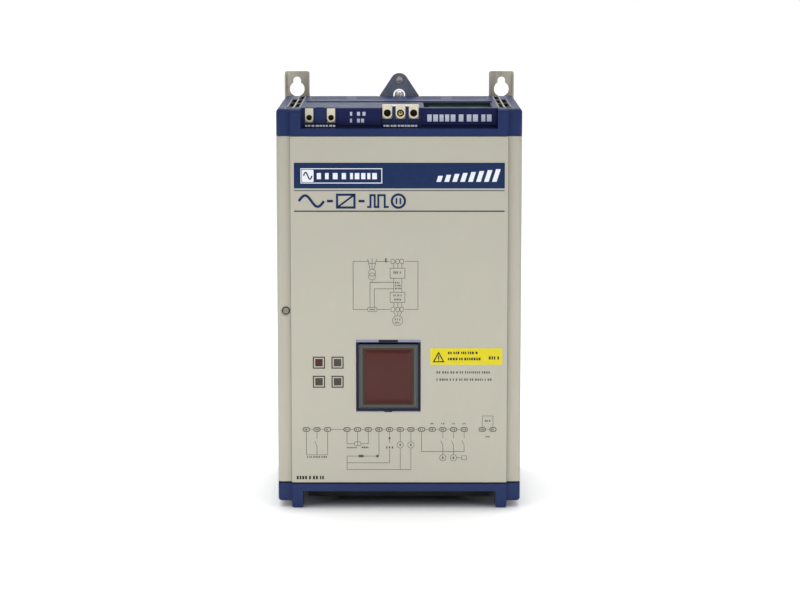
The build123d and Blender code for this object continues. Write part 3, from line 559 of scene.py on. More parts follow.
class Shape:
    """A mesh put together from closed bodies; every size is in millimetres."""

    def __init__(self) -> None:
        """Start with nothing."""
        self.mesh = bmesh.new()

    def skin(self, rings: Sequence[Sequence[Vector]], closed: bool = False) -> "Shape":
        """Join rings of points into one body.

        Args:
            rings: Rings with the same number of points.
            closed: Whether the last ring joins the first; otherwise both ends are capped.

        Returns:
            The shape itself.
        """
        rows = [[self.mesh.verts.new(p) for p in ring] for ring in rings]
        pairs = list(zip(rows, rows[1:])) + ([(rows[-1], rows[0])] if closed else [])
        for low, high in pairs:
            for i, vert in enumerate(low):
                j = (i + 1) % len(low)
                self.mesh.faces.new((vert, low[j], high[j], high[i]))
        if not closed:
            self.mesh.faces.new(list(reversed(rows[0])))
            self.mesh.faces.new(rows[-1])
        return self

    def plate(self, outline: Sequence[Point], span: Point, axis: Axis = Axis.Y) -> "Shape":
        """Extrude an outline between two values along an axis."""
        return self.skin([[point_at(u, v, w, axis) for u, v in outline] for w in span])

    def frame(self, outer: Sequence[Point], inner: Sequence[Point], span: Point, axis: Axis = Axis.Y,
              slope: float = 0.0) -> "Shape":
        """Extrude the band between two outlines of as many points.

        Args:
            outer: The outer outline.
            inner: The inner outline.
            span: The two values along the axis.
            axis: The direction of the extrusion.
            slope: How much the inner edge lies behind the outer one at the first value of span.

        Returns:
            The shape itself.
        """
        rings = ((outer, span[0]), (outer, span[1]), (inner, span[1]), (inner, span[0] + slope))
        return self.skin([[point_at(u, v, w, axis) for u, v in ring] for ring, w in rings], closed=True)

    def box(self, x: Point, y: Point, z: Point) -> "Shape":
        """Add a block between two values on each axis."""
        return self.plate(box_outline(x, z), y)

    def turned(self, profile: Sequence[Point], centre: Point, axis: Axis = Axis.Y,
               sides: int = 40) -> "Shape":
        """Turn a profile of (radius, distance) pairs about an axis.

        Args:
            profile: The profile, from one end to the other.
            centre: Where the axis stands in the outline's plane.
            axis: The direction of the axis.
            sides: Straight runs round it.

        Returns:
            The shape itself.
        """
        return self.skin([[point_at(u, v, w, axis) for u, v in round_outline(centre, r, sides)]
                          for r, w in profile])

    def wire(self, path: Sequence[Vector], radius: float, closed: bool = False, sides: int = 10) -> "Shape":
        """Lay a round wire along a path.

        Args:
            path: The points that the wire's middle follows.
            radius: Wire radius.
            closed: Whether the wire joins up with itself.
            sides: Straight runs round the wire.

        Returns:
            The shape itself.
        """
        count = len(path)
        rings = []
        for i, middle in enumerate(path):
            after = path[(i + 1) % count] if closed or i < count - 1 else middle
            before = path[i - 1] if closed or i else middle
            along = (after - before).normalized()
            guide = Vector((0, 0, 1)) if abs(along.z) < 0.9 else Vector((1, 0, 0))
            side = along.cross(guide).normalized()
            up = side.cross(along)
            rings.append([middle + radius * (side * math.cos(t) + up * math.sin(t))
                          for t in (2 * math.pi * k / sides for k in range(sides))])
        return self.skin(rings, closed)

    def piece(self, name: str, finish: object, body: str = ROOT, slot: str | None = None, bevel: float = 0.0,
              smooth: float = 35.0) -> bpy.types.Object:
        """Turn the shape into a piece of the drive.

        Args:
            name: The piece's name.
            finish: Its finish, from Finishes.
            body: The body that it moves with.
            slot: The record's material slot that it belongs to; not used.
            bevel: Width of its rounded edges.
            smooth: Edges flatter than this angle in degrees are shaded smooth.

        Returns:
            The new object.
        """
        bmesh.ops.scale(self.mesh, vec=(MM, MM, MM), verts=self.mesh.verts)
        bmesh.ops.recalc_face_normals(self.mesh, faces=self.mesh.faces)
        mesh = bpy.data.meshes.new(name)
        self.mesh.to_mesh(mesh)
        self.mesh.free()
        mesh.materials.append(Finishes.get(finish))
        mesh.polygons.foreach_set("use_smooth", [True] * len(mesh.polygons))
        mesh.set_sharp_from_angle(angle=math.radians(smooth))
        piece = bpy.data.objects.new(name, mesh)
        bpy.context.scene.collection.objects.link(piece)
        if bevel:
            round_edges(piece, bevel)
        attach(piece, body)
        LOG.info("piece %s on %s, %d faces", name, body, len(mesh.polygons))
        return piece


def round_edges(piece: bpy.types.Object, width: float, segments: int = 2, angle: float = 40.0) -> None:
    """Round the sharp edges of an object with a modifier.

    Args:
        piece: The object.
        width: Width of the rounding in millimetres.
        segments: Steps across it.
        angle: Only edges sharper than this, in degrees, are rounded.
    """
    bevel = piece.modifiers.new("edges", "BEVEL")
    bevel.width = width * MM
    bevel.segments = segments
    bevel.limit_method = "ANGLE"
    bevel.angle_limit = math.radians(angle)
    bevel.harden_normals = True


class Print(Shape):
    """Flat printed marks on an upright face, built as very thin plates."""

    SINK = 0.03

    def __init__(self, face: float, thick: float = 0.2) -> None:
        """Start a layer of print.

        Args:
            face: Where the face lies along Y.
            thick: How much the ink stands proud.
        """
        super().__init__()
        self.span = (face - thick, face + self.SINK)

    def area(self, outline: Sequence[Point]) -> "Print":
        """Fill an outline."""
        self.plate(outline, self.span)
        return self

    def bar(self, x: Point, z: Point) -> "Print":
        """Fill a rectangle."""
        return self.area(box_outline(x, z))

    def outline(self, x: Point, z: Point, line: float) -> "Print":
        """Draw a rectangle's outline; its line lies inside the two spans."""
        self.frame(box_outline(x, z), grown(x, z, -line), self.span)
        return self

    def ring(self, centre: Point, radius: float, line: float, sides: int = 32) -> "Print":
        """Draw a circle with its line inside the radius."""
        inner = round_outline(centre, radius - line, sides)
        self.frame(round_outline(centre, radius, sides), inner, self.span)
        return self

    def lozenge(self, centre: Point, size: Point, line: float) -> "Print":
        """Draw the rounded outline that stands for one terminal.

        Args:
            centre: Its middle.
            size: Its width and height.
            line: Line width, inside the size.

        Returns:
            The print itself.
        """
        outlines = []
        for inset in (0.0, line):
            w, h = size[0] / 2 - inset, size[1] / 2 - inset
            outlines.append(box_outline(around(centre[0], w), around(centre[1], h), h * 0.8, 3))
        self.frame(outlines[0], outlines[1], self.span)
        return self

    def stroke(self, points: Sequence[Point], line: float) -> "Print":
        """Draw a run of straight lines with mitred corners.

        Args:
            points: The corners of the run.
            line: Line width.

        Returns:
            The print itself.
        """
        left: list[Point] = []
        right: list[Point] = []
        vectors = [Vector(p) for p in points]
        for i, here in enumerate(vectors):
            before = (here - vectors[i - 1]).normalized() if i else None
            after = (vectors[i + 1] - here).normalized() if i < len(vectors) - 1 else None
            along = ((before or after) + (after or before)).normalized()
            normal = Vector((-along.y, along.x))
            lead = before or after
            reach = line / 2 / max(0.35, normal.dot(Vector((-lead.y, lead.x))))
            left.append(tuple(here + normal * reach))
            right.append(tuple(here - normal * reach))
        for i in range(len(points) - 1):
            self.area([left[i], left[i + 1], right[i + 1], right[i]])
        return self

    def marks(self, x: Point, z: Point, seed: int, widths: Point = (0.5, 1.1), gap: float = 0.35) -> "Print":
        """Fill a line with short upright dashes of uneven width, in place of small wording.

        Args:
            x: The two ends of the line.
            z: Its height.
            seed: Start of the row of widths.
            widths: Narrowest and widest dash, as a share of the height.
            gap: Space between dashes, as a share of the height.

        Returns:
            The print itself.
        """
        draw = random.Random(seed)
        height = z[1] - z[0]
        left = x[0]
        while left < x[1] - widths[0] * height:
            right = min(x[1], left + draw.uniform(*widths) * height)
            self.bar((left, right), z)
            left = right + gap * height * draw.choice((1.0, 1.0, 2.2))
        return self


class Assembly:
    """What the sub-assemblies share: dressing CAD nodes in finishes."""

    WELD_GAP = 0.005

    def dress(self, finishes: dict[object, Iterable[str]], bevel: float = 0.0) -> None:
        """Give CAD nodes their finish.

        Args:
            finishes: Finish and the names of the nodes that take it.
            bevel: Width of their rounded edges in millimetres.
        """
        for finish, names in finishes.items():
            for name in names:
                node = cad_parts[name]
                for slot in node.material_slots:
                    slot.material = Finishes.get(finish)
                if bevel:
                    weld = node.modifiers.new("weld", "WELD")
                    weld.merge_threshold = self.WELD_GAP * MM
                    round_edges(node, bevel)
                LOG.info("node %s in %s", name, finish.name)


def box_mm(name: str) -> tuple[Vector, Vector]:
    """Give a CAD node's lowest and highest corners in millimetres."""
    low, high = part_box(name)
    return Vector(low) / MM, Vector(high) / MM


# ------------------------------------------------------------------ studio
@dataclass(frozen=True)
class SoftBox:
    """A soft box: where it hangs, what it points at, its width and height in metres, its power in watts."""

    name: str
    place: tuple[float, float, float]
    target: tuple[float, float, float]
    size: Point
    power: float

    def hang(self) -> None:
        """Hang the lamp and turn it to its target."""
        data = bpy.data.lights.new(self.name, "AREA")
        data.shape = "RECTANGLE"
        data.size, data.size_y = self.size
        data.energy = self.power
        lamp = bpy.data.objects.new(self.name, data)
        lamp.location = self.place
        aim = Vector(self.target) - Vector(self.place)
        lamp.rotation_euler = aim.to_track_quat("-Z", "Y").to_euler()
        bpy.context.scene.collection.objects.link(lamp)


@dataclass
class Studio:
    """Pale floor that curves up behind the drive, soft lights and the camera; sizes are in metres."""

    lens: float = 116.05
    camera_place: tuple[float, float, float] = (0.0008, -2.662, 0.5771)
    camera_tilt: float = 81.888
    sensor: float = 36.0
    sight: float = 50.0
    floor_half: float = 9.0
    floor_front: float = -4.5
    floor_back: float = 2.2
    cove_radius: float = 1.6
    cove_top: float = 4.0
    # The next three set painted light and painted shadow on the floor: the strength and reaches of an
    # emission glow that lifts the floor round the drive, and the reach where the painted shadow under the
    # drive fades out.
    painted_glow_strength: float = 0.19
    painted_glow_reach: Point = (0.1, 0.135)
    painted_shadow_reach: Point = (0.06, 0.104)
    sky: tuple[float, ...] = (0.97, 0.98, 1.0, 1.0)
    sky_strength: float = 0.54
    soft_boxes: tuple[SoftBox, ...] = (
        SoftBox("key", (-1.7, -1.9, 2.3), (0.0, 0.0, 0.25), (1.6, 1.6), 11.5),
        SoftBox("fill", (2.4, -2.0, 1.4), (0.0, 0.0, 0.2), (1.8, 1.8), 9.0),
        SoftBox("low_front", (-0.05, -0.62, 0.05), (0.0, -0.1, 0.03), (1.0, 0.06), 1.05),
        SoftBox("top", (0.0, 0.6, 2.6), (0.0, 0.2, 0.0), (2.6, 2.0), 46.0),
    )

    def paper(self) -> bpy.types.Material:
        """Make the floor's paper, with painted light (an emission glow) round the drive and a painted shadow
        under it.

        Returns:
            The material.
        """
        nodes = Nodes("studio_paper")
        sides = nodes.add("ShaderNodeSeparateXYZ")
        nodes.link(nodes.place, sides.inputs[0])
        reach = nodes.add("ShaderNodeMath")
        reach.operation = "MAXIMUM"
        for i, axis in enumerate(("X", "Y")):
            away = nodes.add("ShaderNodeMath")
            away.operation = "ABSOLUTE"
            nodes.link(sides.outputs[axis], away.inputs[0])
            nodes.link(away.outputs[0], reach.inputs[i])
        paper = nodes.blend(nodes.noise(2.0), srgb(250, 250, 250), srgb(254, 254, 254))
        # Painted shadow: the floor under the drive is darkened to grey.
        under = nodes.spread(reach.outputs[0], self.painted_shadow_reach, WHOLE)
        nodes.colour(nodes.blend(under, srgb(60, 60, 64), paper))
        # Painted light: the floor glows round the drive, lifting its shadow there.
        painted_glow = nodes.spread(reach.outputs[0], self.painted_glow_reach, (0.0, self.painted_glow_strength))
        nodes.link(painted_glow, nodes.shader.inputs["Emission Strength"])
        nodes.set(Roughness=0.9, Emission_Color=(1.0, 1.0, 1.0, 1.0))
        return nodes.material

    def floor(self) -> None:
        """Build the floor and the cove behind it."""
        profile = [(self.floor_front, 0.0), (0.0, 0.0)]
        profile += arc((self.floor_back, self.cove_radius), self.cove_radius, -90.0, 0.0, 24)
        profile += [(self.floor_back + self.cove_radius, self.cove_top)]
        mesh = bmesh.new()
        rows = [[mesh.verts.new((x, y, z)) for y, z in profile] for x in (-self.floor_half, self.floor_half)]
        for i in range(len(profile) - 1):
            mesh.faces.new((rows[0][i], rows[1][i], rows[1][i + 1], rows[0][i + 1]))
        data = bpy.data.meshes.new("studio_floor")
        mesh.to_mesh(data)
        mesh.free()
        data.polygons.foreach_set("use_smooth", [True] * len(data.polygons))
        data.materials.append(self.paper())
        floor = bpy.data.objects.new("studio_floor", data)
        bpy.context.scene.collection.objects.link(floor)

    def lights(self) -> None:
        """Hang the lights and set the pale surroundings."""
        for box in self.soft_boxes:
            box.hang()
        world = bpy.data.worlds.new("surroundings")
        world.use_nodes = True
        backdrop = world.node_tree.nodes["Background"]
        backdrop.inputs["Color"].default_value = self.sky
        backdrop.inputs["Strength"].default_value = self.sky_strength
        bpy.context.scene.world = world
        bpy.context.scene.view_settings.view_transform = "Standard"

    def camera(self) -> None:
        """Stand the camera in front."""
        data = bpy.data.cameras.new("camera")
        data.lens = self.lens
        data.sensor_width = self.sensor
        data.clip_end = self.sight
        camera = bpy.data.objects.new("camera", data)
        camera.location = self.camera_place
        camera.rotation_euler = (math.radians(self.camera_tilt), 0.0, 0.0)
        bpy.context.scene.collection.objects.link(camera)
        bpy.context.scene.camera = camera

    def build(self) -> None:
        """Build the studio."""
        self.floor()
        self.lights()
        self.camera()


# ------------------------------------------------------------------ case
@dataclass
class Case(Assembly):
    """Moulded caps, front cover and steel side panels, with the painted shade and painted highlights of the
    vent slots in the roof.
    """

    roof: float = 404.0
    # The next four size the vent trim: the width and height of the pale rims that are painted edge
    # highlights, and the width and depth of the dark painted shade round and inside each slot.
    rim: float = 0.42
    rim_highlight_height: float = 0.25
    shade: float = 0.9
    liner: float = 0.35
    roof_sheet: float = 2.5
    inner_slots: Point = (100.6, 104.6)
    inner_rows: tuple[Point, ...] = ((-88.0, -32.0), (-29.0, 27.0), (30.0, 86.0))
    outer_slots: Point = (106.0, 111.0)
    outer_rows: tuple[Point, ...] = ((-78.0, -21.0), (-18.0, 39.0))
    front_slot: tuple[Point, Point] = ((107.0, 112.6), (-94.0, -84.0))
    slot_depth: float = 0.4
    panel_edge: float = 108.5
    # The next two give the width and extent of the painted shadow lines at the foot of the cover's panel
    # steps.
    step_shadow_width: float = 0.55
    step_shadow: tuple[Point, Point] = ((-99.95, -99.5), (26.5, 376.2))
    seal: tuple[Point, Point] = ((-106.0, 106.0), (-102.2, -99.0))
    seal_heights: tuple[Point, ...] = ((24.8, 25.9), (376.5, 376.95))
    # The next three size the dark wall under the bottom cap and its ribs, which stand as painted shade.
    shade_wall: tuple[Point, ...] = ((-94.0, 94.0), (-54.0, -51.5), (1.0, 17.2))
    shade_wall_rib: tuple[Point, Point] = ((-51.6, -48.0), (3.0, 17.2))
    shade_wall_pitch: int = 20

    def vent_shade_and_highlights(self) -> None:
        """Lay the dark plates round and inside the vent slots of both roof corners, which are painted shade,
        and the pale rims round them, which are painted edge highlights.
        """
        painted_highlights, painted_shades, foot = Shape(), Shape(), self.roof - self.slot_depth
        for side in (-1, 1):
            slots = [(self.inner_slots, y) for y in self.inner_rows]
            slots += [(self.outer_slots, y) for y in self.outer_rows] + [self.front_slot]
            for span, y in slots:
                x = tuple(sorted(side * value for value in span))
                outer, lip = grown(x, y, self.shade + self.rim), grown(x, y, self.shade)
                bore = grown(x, y, -self.liner)
                # Pale rims: painted edge highlights.
                painted_highlights.frame(outer, lip, (foot, self.roof + self.rim_highlight_height), Axis.Z)
                # Dark plates on the roof round each slot and inside it: painted shade.
                painted_shades.frame(lip, bore, (foot, self.roof + 0.1), Axis.Z)
                painted_shades.frame(box_outline(x, y), bore, (self.roof - self.roof_sheet, foot), Axis.Z)
        painted_highlights.piece("roof_vent_painted_highlights", Finishes.vent_highlight, slot="blue_moulding")
        painted_shades.piece("roof_vent_painted_shade", Finishes.rubber, slot="black_moulding")

    def dark_strips(self) -> None:
        """Lay the dark seals in the gaps above and below the front cover."""
        seals = Shape()
        for z in self.seal_heights:
            seals.box(*self.seal, z)
        seals.piece("cover_seals", Finishes.rubber, slot="black_moulding")

    def painted_step_shadows(self) -> None:
        """Lay painted shadow lines at the foot of the steps where the raised panel of the cover meets its
        side strips.
        """
        dark_strips = Shape()
        for side in (-1, 1):
            x = tuple(sorted((side * self.panel_edge, side * (self.panel_edge + self.step_shadow_width))))
            dark_strips.box(x, *self.step_shadow)
        dark_strips.piece("cover_painted_step_shadows", Finishes.step_shadow, COVER, "beige_moulding")

    def painted_underside_shade(self) -> None:
        """Stand a dark ribbed wall under the bottom cap, between the cable outlets and the fans, as painted
        shade in the opening under the drive.
        """
        shade_wall = Shape().box(*self.shade_wall)
        for x in range(-80, 81, self.shade_wall_pitch):
            shade_wall.box(around(x, 1.0), *self.shade_wall_rib)
        shade_wall.piece("painted_underside_shade", Finishes.rubber, slot="black_moulding", bevel=0.3)

    def build(self) -> None:
        """Dress the case and add its trim."""
        self.painted_step_shadows()
        self.painted_underside_shade()
        self.dress({Finishes.blue: ("top_cap", "bottom_cap")}, bevel=0.9)
        self.dress({Finishes.beige: ("front_cover",)}, bevel=0.5)
        self.dress({Finishes.panel_paint: ("side_panel_left", "side_panel_right")}, bevel=0.3)
        self.dress({Finishes.plated: ("cover_hinge_pins",), Finishes.zinc: ("latch_fork",)})
        self.vent_shade_and_highlights()
        self.dark_strips()


@dataclass
class CoverScrew(Assembly):
    """Quarter-turn screw in its recess, with its captive washer."""

    x: float = -113.8
    z: float = 201.0
    washer: Point = (2.9, 4.15)
    front: float = -99.35

    def build(self) -> None:
        """Dress the screw and add the washer and the turned rim of the recess."""
        self.dress({Finishes.screw_dark: ("cover_screw",)})
        centre = (self.x, self.z)
        inner, outer = (round_outline(centre, radius, 40) for radius in self.washer)
        washer = Shape().frame(outer, inner, (self.front, self.front + 0.9))
        washer.piece("cover_screw_washer", Finishes.washer_dark, "cover_screw", "zinc_steel", bevel=0.15)


# ------------------------------------------------------------------ print on the cover
@dataclass
class CoverPrint(Assembly):
    """Everything printed on the front cover: banner, symbols, two wiring diagrams and the yellow label."""

    face: float = COVER_FACE
    fine: float = 0.42
    banner_x: Point = (-104.8, 105.1)
    banner_z: Point = (324.8, 350.4)
    terminal_z: float = 80.7
    pitch: float = 10.75
    groups: tuple[tuple[float, int], ...] = ((-93.7, 3), (-52.7, 12), (83.8, 2))
    terminal_size: Point = (7.1, 4.6)

    def layer(self, thick: float = 0.2) -> Print:
        """Start a layer of print on the cover."""
        return Print(self.face, thick)

    def banner(self) -> None:
        """Print the navy banner with its white devices, and the lines under it."""
        bands = self.layer(0.12).bar(self.banner_x, self.banner_z)
        bands.bar(self.banner_x, (322.2, 322.9)).bar(self.banner_x, (301.4, 302.6))
        bands.piece("print_banner", Finishes.ink_navy, COVER)
        white = self.layer()
        white.outline((-98.2, -16.9), (329.8, 344.9), 0.8)
        white.area(box_outline((-96.9, -85.2), (331.2, 343.5), 1.2))
        white.marks((-82.0, -20.0), (334.0, 340.2), 5, (0.45, 0.8), 0.3)
        for i in range(8):
            left, height = 37.0 + i * 7.9, 6.0 + i * 0.95
            lean = 0.32 * height
            white.area([(left, 331.4), (left + 4.6, 331.4), (left + 4.6 + lean, 331.4 + height),
                        (left + lean, 331.4 + height)])
        white.piece("print_banner_devices", Finishes.ink_white, COVER)
        badge = Print(self.face - 0.2, 0.06)
        wave = [(-95.2 + 8.4 * t / 24, 337.4 + 3.4 * math.sin(2 * math.pi * t / 24)) for t in range(25)]
        badge.stroke(wave, 1.3)
        badge.piece("print_banner_wave", Finishes.ink_navy, COVER)

    def title(self) -> None:
        """Print the large row of symbols: supply wave, converter, pulse train and motor."""
        line, low, high = 2.5, 305.0, 319.2
        middle = (low + high) / 2
        symbols = self.layer()
        wave = [(-100.0 + 25.0 * t / 32, middle + 5.6 * math.sin(2 * math.pi * t / 32)) for t in range(33)]
        symbols.stroke(wave, line)
        symbols.bar((-72.0, -66.0), around(middle, 1.25))
        symbols.outline((-63.0, -43.5), (low - 0.4, high + 0.4), 2.2)
        symbols.stroke([(-61.5, low + 1.0), (-45.0, high - 1.0)], 1.8)
        symbols.bar((-40.5, -34.5), around(middle, 1.25))
        x = -32.0
        pulses: list[Point] = []
        for width, level in ((3.4, low + 1.2), (4.2, high - 1.2), (3.6, low + 1.2), (6.4, high - 1.2),
                             (4.0, low + 1.2)):
            pulses += [(x, level), (x + width, level)]
            x += width
        symbols.stroke(pulses, 2.0)
        symbols.ring((-0.8, middle), 7.7, 2.3, 40)
        for x_span in ((-3.6, -1.9), (0.3, 2.0)):
            symbols.bar(x_span, around(middle, 3.0))
        symbols.piece("print_title_symbols", Finishes.ink_navy, COVER)

    def block_diagram(self) -> None:
        """Print the diagram of supply, converter, resistor and motor."""
        fine, art = self.fine, self.layer(0.16)
        for run in (((-30.5, 251.6), (-46.1, 251.6), (-46.1, 203.0), (-31.8, 203.0)),
                    ((5.9, 251.6), (18.8, 251.6), (18.8, 203.0), (5.9, 203.0)),
                    ((-22.2, 203.0), (-9.4, 203.0)), ((-23.5, 251.6), (-9.9, 251.6)),
                    ((-31.6, 254.2), (-29.0, 243.5)), ((-22.6, 254.2), (-25.2, 243.5)),
                    ((-27.1, 255.0), (-27.1, 243.8)), ((-30.6, 249.6), (-23.6, 249.6)),
                    ((-27.1, 232.7), (-27.1, 230.5), (-18.0, 230.5)),
                    ((-5.4, 230.5), (-29.2, 230.5), (-29.2, 205.3)),
                    ((-5.4, 223.9), (-24.9, 223.9), (-24.9, 205.3)),
                    ((-5.4, 234.3), (-5.4, 220.5)), ((2.6, 234.3), (2.6, 220.5))):
            art.stroke(run, fine)
        art.ring((-27.1, 240.2), 3.7, fine).ring((-27.1, 236.4), 3.7, fine)
        for z in (251.6, 203.0):
            for x in (-6.4, -1.6, 2.6):
                art.lozenge((x, z), (4.4, 5.0), fine)
        for z in ((234.3, 244.9), (209.9, 220.5)):
            art.outline((-9.3, 5.9), z, fine)
        for x in (-5.4, -1.4, 2.6):
            art.stroke([(x, 249.2), (x, 244.9)], fine)
            art.stroke([(x, 209.9), (x, 205.4)], fine)
            art.stroke([(x, 200.6), (x * 0.6 - 0.6, 196.5)], fine)
        art.lozenge((-27.0, 203.0), (10.0, 4.7), fine).bar((-30.0, -24.0), (202.6, 203.4))
        art.ring((-1.6, 191.7), 5.2, fine)
        for x, z, seed, widths in (((-4.2, 1.0), (191.9, 193.9), 3, (0.3, 0.5)),
                                   ((-3.9, 0.7), (188.8, 190.4), 4, (0.3, 0.5)),
                                   ((-5.6, 2.4), (239.2, 241.6), 7, (0.3, 0.6)),
                                   ((-5.8, 3.0), (216.2, 218.2), 8, (0.3, 0.6)),
                                   ((-5.0, 2.0), (212.2, 214.0), 9, (0.3, 0.6)),
                                   ((-14.0, -10.6), (250.5, 255.0), 2, (0.2, 0.3))):
            art.marks(x, z, seed, widths)
        for row in range(3):
            art.marks((-4.2, 1.6), (229.4 - row * 2.9, 230.8 - row * 2.9), 20 + row, (0.4, 0.8))
        art.piece("print_block_diagram", Finishes.ink_line, COVER)

    def terminals(self) -> list[float]:
        """Give where the control terminals are drawn, from left to right."""
        return [first + self.pitch * i for first, count in self.groups for i in range(count)]

    def terminal_diagram(self) -> None:
        """Print the diagram of the control terminals and what is wired to them."""
        fine, z, art = self.fine, self.terminal_z, self.layer(0.16)
        places = self.terminals()
        for i, x in enumerate(places):
            art.lozenge((x, z), self.terminal_size, 0.8)
            art.marks((x - 1.7, x + 1.9), around(z, 0.9), 30 + i, (0.3, 0.7))
        reach = self.terminal_size[0] / 2
        for x, after in zip(places, places[1:]):
            if x not in (places[2], places[14]):
                art.stroke([(x + reach, z), (after - reach, z)], 0.3)
        art.stroke([(places[2] + reach, z), (places[3] - reach, z)], fine)
        under = z - self.terminal_size[1] / 2
        self.relay_and_pot(art, places, under)
        self.meters_and_switches(art, places, under)
        art.piece("print_terminal_diagram", Finishes.ink_line, COVER)

    def relay_and_pot(self, art: Print, x: Sequence[float], under: float) -> None:
        """Draw the relay contact, the potentiometer and the current source at the left.

        Args:
            art: The layer of print.
            x: Where the terminals are.
            under: Lower edge of the terminals.
        """
        fine = self.fine
        for place in (x[0], x[2]):
            art.stroke([(place, under), (place, 54.6)], fine)
        art.stroke([(x[1], under), (x[1], 71.0)], fine).stroke([(x[1] - 2.2, 68.6), (x[1], 63.4)], fine)
        art.stroke([(x[1], 63.4), (x[1], 54.6)], fine).stroke([(x[0], 54.6), (x[2], 54.6)], fine)
        art.marks((x[0] + 0.8, x[2] - 0.6), (51.6, 53.2), 61, (0.4, 0.9))
        art.stroke([(x[3], under), (x[3], 66.0), (x[4] - 3.6, 66.0)], fine)
        art.stroke([(x[5], under), (x[5], 66.0), (x[4] + 3.6, 66.0)], fine)
        art.lozenge((x[4], 66.0), self.terminal_size, fine).stroke([(x[4], under), (x[4], 63.7)], fine)
        art.marks((x[3], x[4] - 1.0), (61.4, 62.6), 62, (0.4, 0.9))
        art.marks((x[4] + 4.0, x[5]), (61.4, 63.0), 63)
        art.stroke([(x[6], under), (x[6], 53.3)], fine)
        art.area(round_outline((x[6] - 1.6, 53.3), 1.4, 16))
        art.stroke([(x[6] - 3.0, 53.3), (x[3], 53.3), (x[3], 46.4), (x[7], 46.4), (x[7], 60.0)], fine)
        art.stroke([(x[3], 46.4), (x[3], 39.4), (x[9], 39.4), (x[9], 61.4)], fine)
        art.bar((x[4] + 1.0, x[4] + 6.0), (52.1, 54.6))
        art.stroke([(x[7], under), (x[7], 66.6)], fine).area(round_outline((x[7], 71.7), 1.1, 16))
        art.marks((x[7] - 3.4, x[7] + 3.6), (61.2, 63.2), 64, (0.4, 0.8))
        art.stroke([(x[8], 61.4), (x[8], 39.4)], fine)

    def meters_and_switches(self, art: Print, x: Sequence[float], under: float) -> None:
        """Draw the two meters, the three switches and the coil at the right.

        Args:
            art: The layer of print.
            x: Where the terminals are.
            under: Lower edge of the terminals.
        """
        fine = self.fine
        for place in (x[8], x[9]):
            art.stroke([(place, under), (place, 68.2)], fine).ring((place, 64.8), 3.4, fine)
            art.bar(around(place, 0.7), (63.7, 66.0))
        art.stroke([(x[10], under), (x[10], 58.0), (x[14] + 0.2, 58.0)], fine)
        for i, place in enumerate(x[12:15]):
            for run in (((place, under), (place, 71.6)), ((place - 2.2, 69.4), (place, 64.4)),
                        ((place, 64.4), (place, 58.0))):
                art.stroke(run, fine)
            if i < 2:
                art.ring((place, 51.6), 3.4, fine).stroke([(place, 58.0), (place, 55.0)], fine)
                art.bar(around(place, 0.7), (50.4, 52.8))
        art.outline(around(x[14], 2.6), (49.4, 53.8), fine)
        art.stroke([(x[13] + 3.4, 51.6), (x[14] - 2.6, 51.6)], fine)
        for i in range(4):
            art.marks((x[11 + i] - 1.6, x[11 + i] + 1.8), (86.0, 87.4), 70 + i, (0.4, 0.9))
        top = self.terminal_z + self.terminal_size[1] / 2
        art.stroke([(x[15], top), (x[15], 94.5), (x[16], 94.5), (x[16], top)], fine)
        art.marks((x[15] + 2.6, x[16] - 2.2), (88.6, 90.4), 75, (0.4, 0.8))
        art.marks((x[15] + 3.4, x[16] - 3.2), (72.6, 74.0), 76, (0.4, 0.8))

    def label(self) -> None:
        """Stick on the yellow label and print its triangle and lines, and the two lines below it."""
        label = self.layer(0.12)
        label.area(box_outline((31.2, 103.6), (146.8, 163.7), 0.8))
        label.piece("label_yellow", Finishes.label_yellow, COVER)
        art = Print(self.face - 0.12, 0.1)
        outer = [(33.6, 149.4), (45.6, 149.4), (39.6, 160.4)]
        inner = [(35.5, 150.5), (43.7, 150.5), (39.6, 158.0)]
        art.frame(outer, inner, art.span)
        art.bar((39.0, 40.2), (152.6, 156.0)).bar((39.0, 40.2), (151.2, 152.1))
        for x, z, seed in (((49.0, 80.0), (157.6, 160.2), 81), ((49.0, 82.5), (151.4, 154.0), 82),
                           ((90.0, 100.5), (152.2, 155.4), 83)):
            art.marks(x, z, seed, (0.4, 0.8), 0.3)
        art.piece("label_print", Finishes.ink_black, COVER)
        notes = self.layer(0.16)
        notes.marks((37.5, 91.0), (137.9, 140.1), 84, (0.4, 0.8), 0.4)
        notes.marks((37.5, 93.0), (130.6, 132.8), 85, (0.4, 0.8), 0.4)
        notes.piece("print_notes", Finishes.ink_line, COVER)
        tail = self.layer(0.16).marks((-103.6, -73.4), (29.4, 32.9), 86, (0.35, 0.6), 0.28)
        tail.piece("print_foot_note", Finishes.ink_black, COVER)

    def build(self) -> None:
        """Print the whole cover."""
        self.banner()
        self.title()
        self.block_diagram()
        self.terminal_diagram()
        self.label()


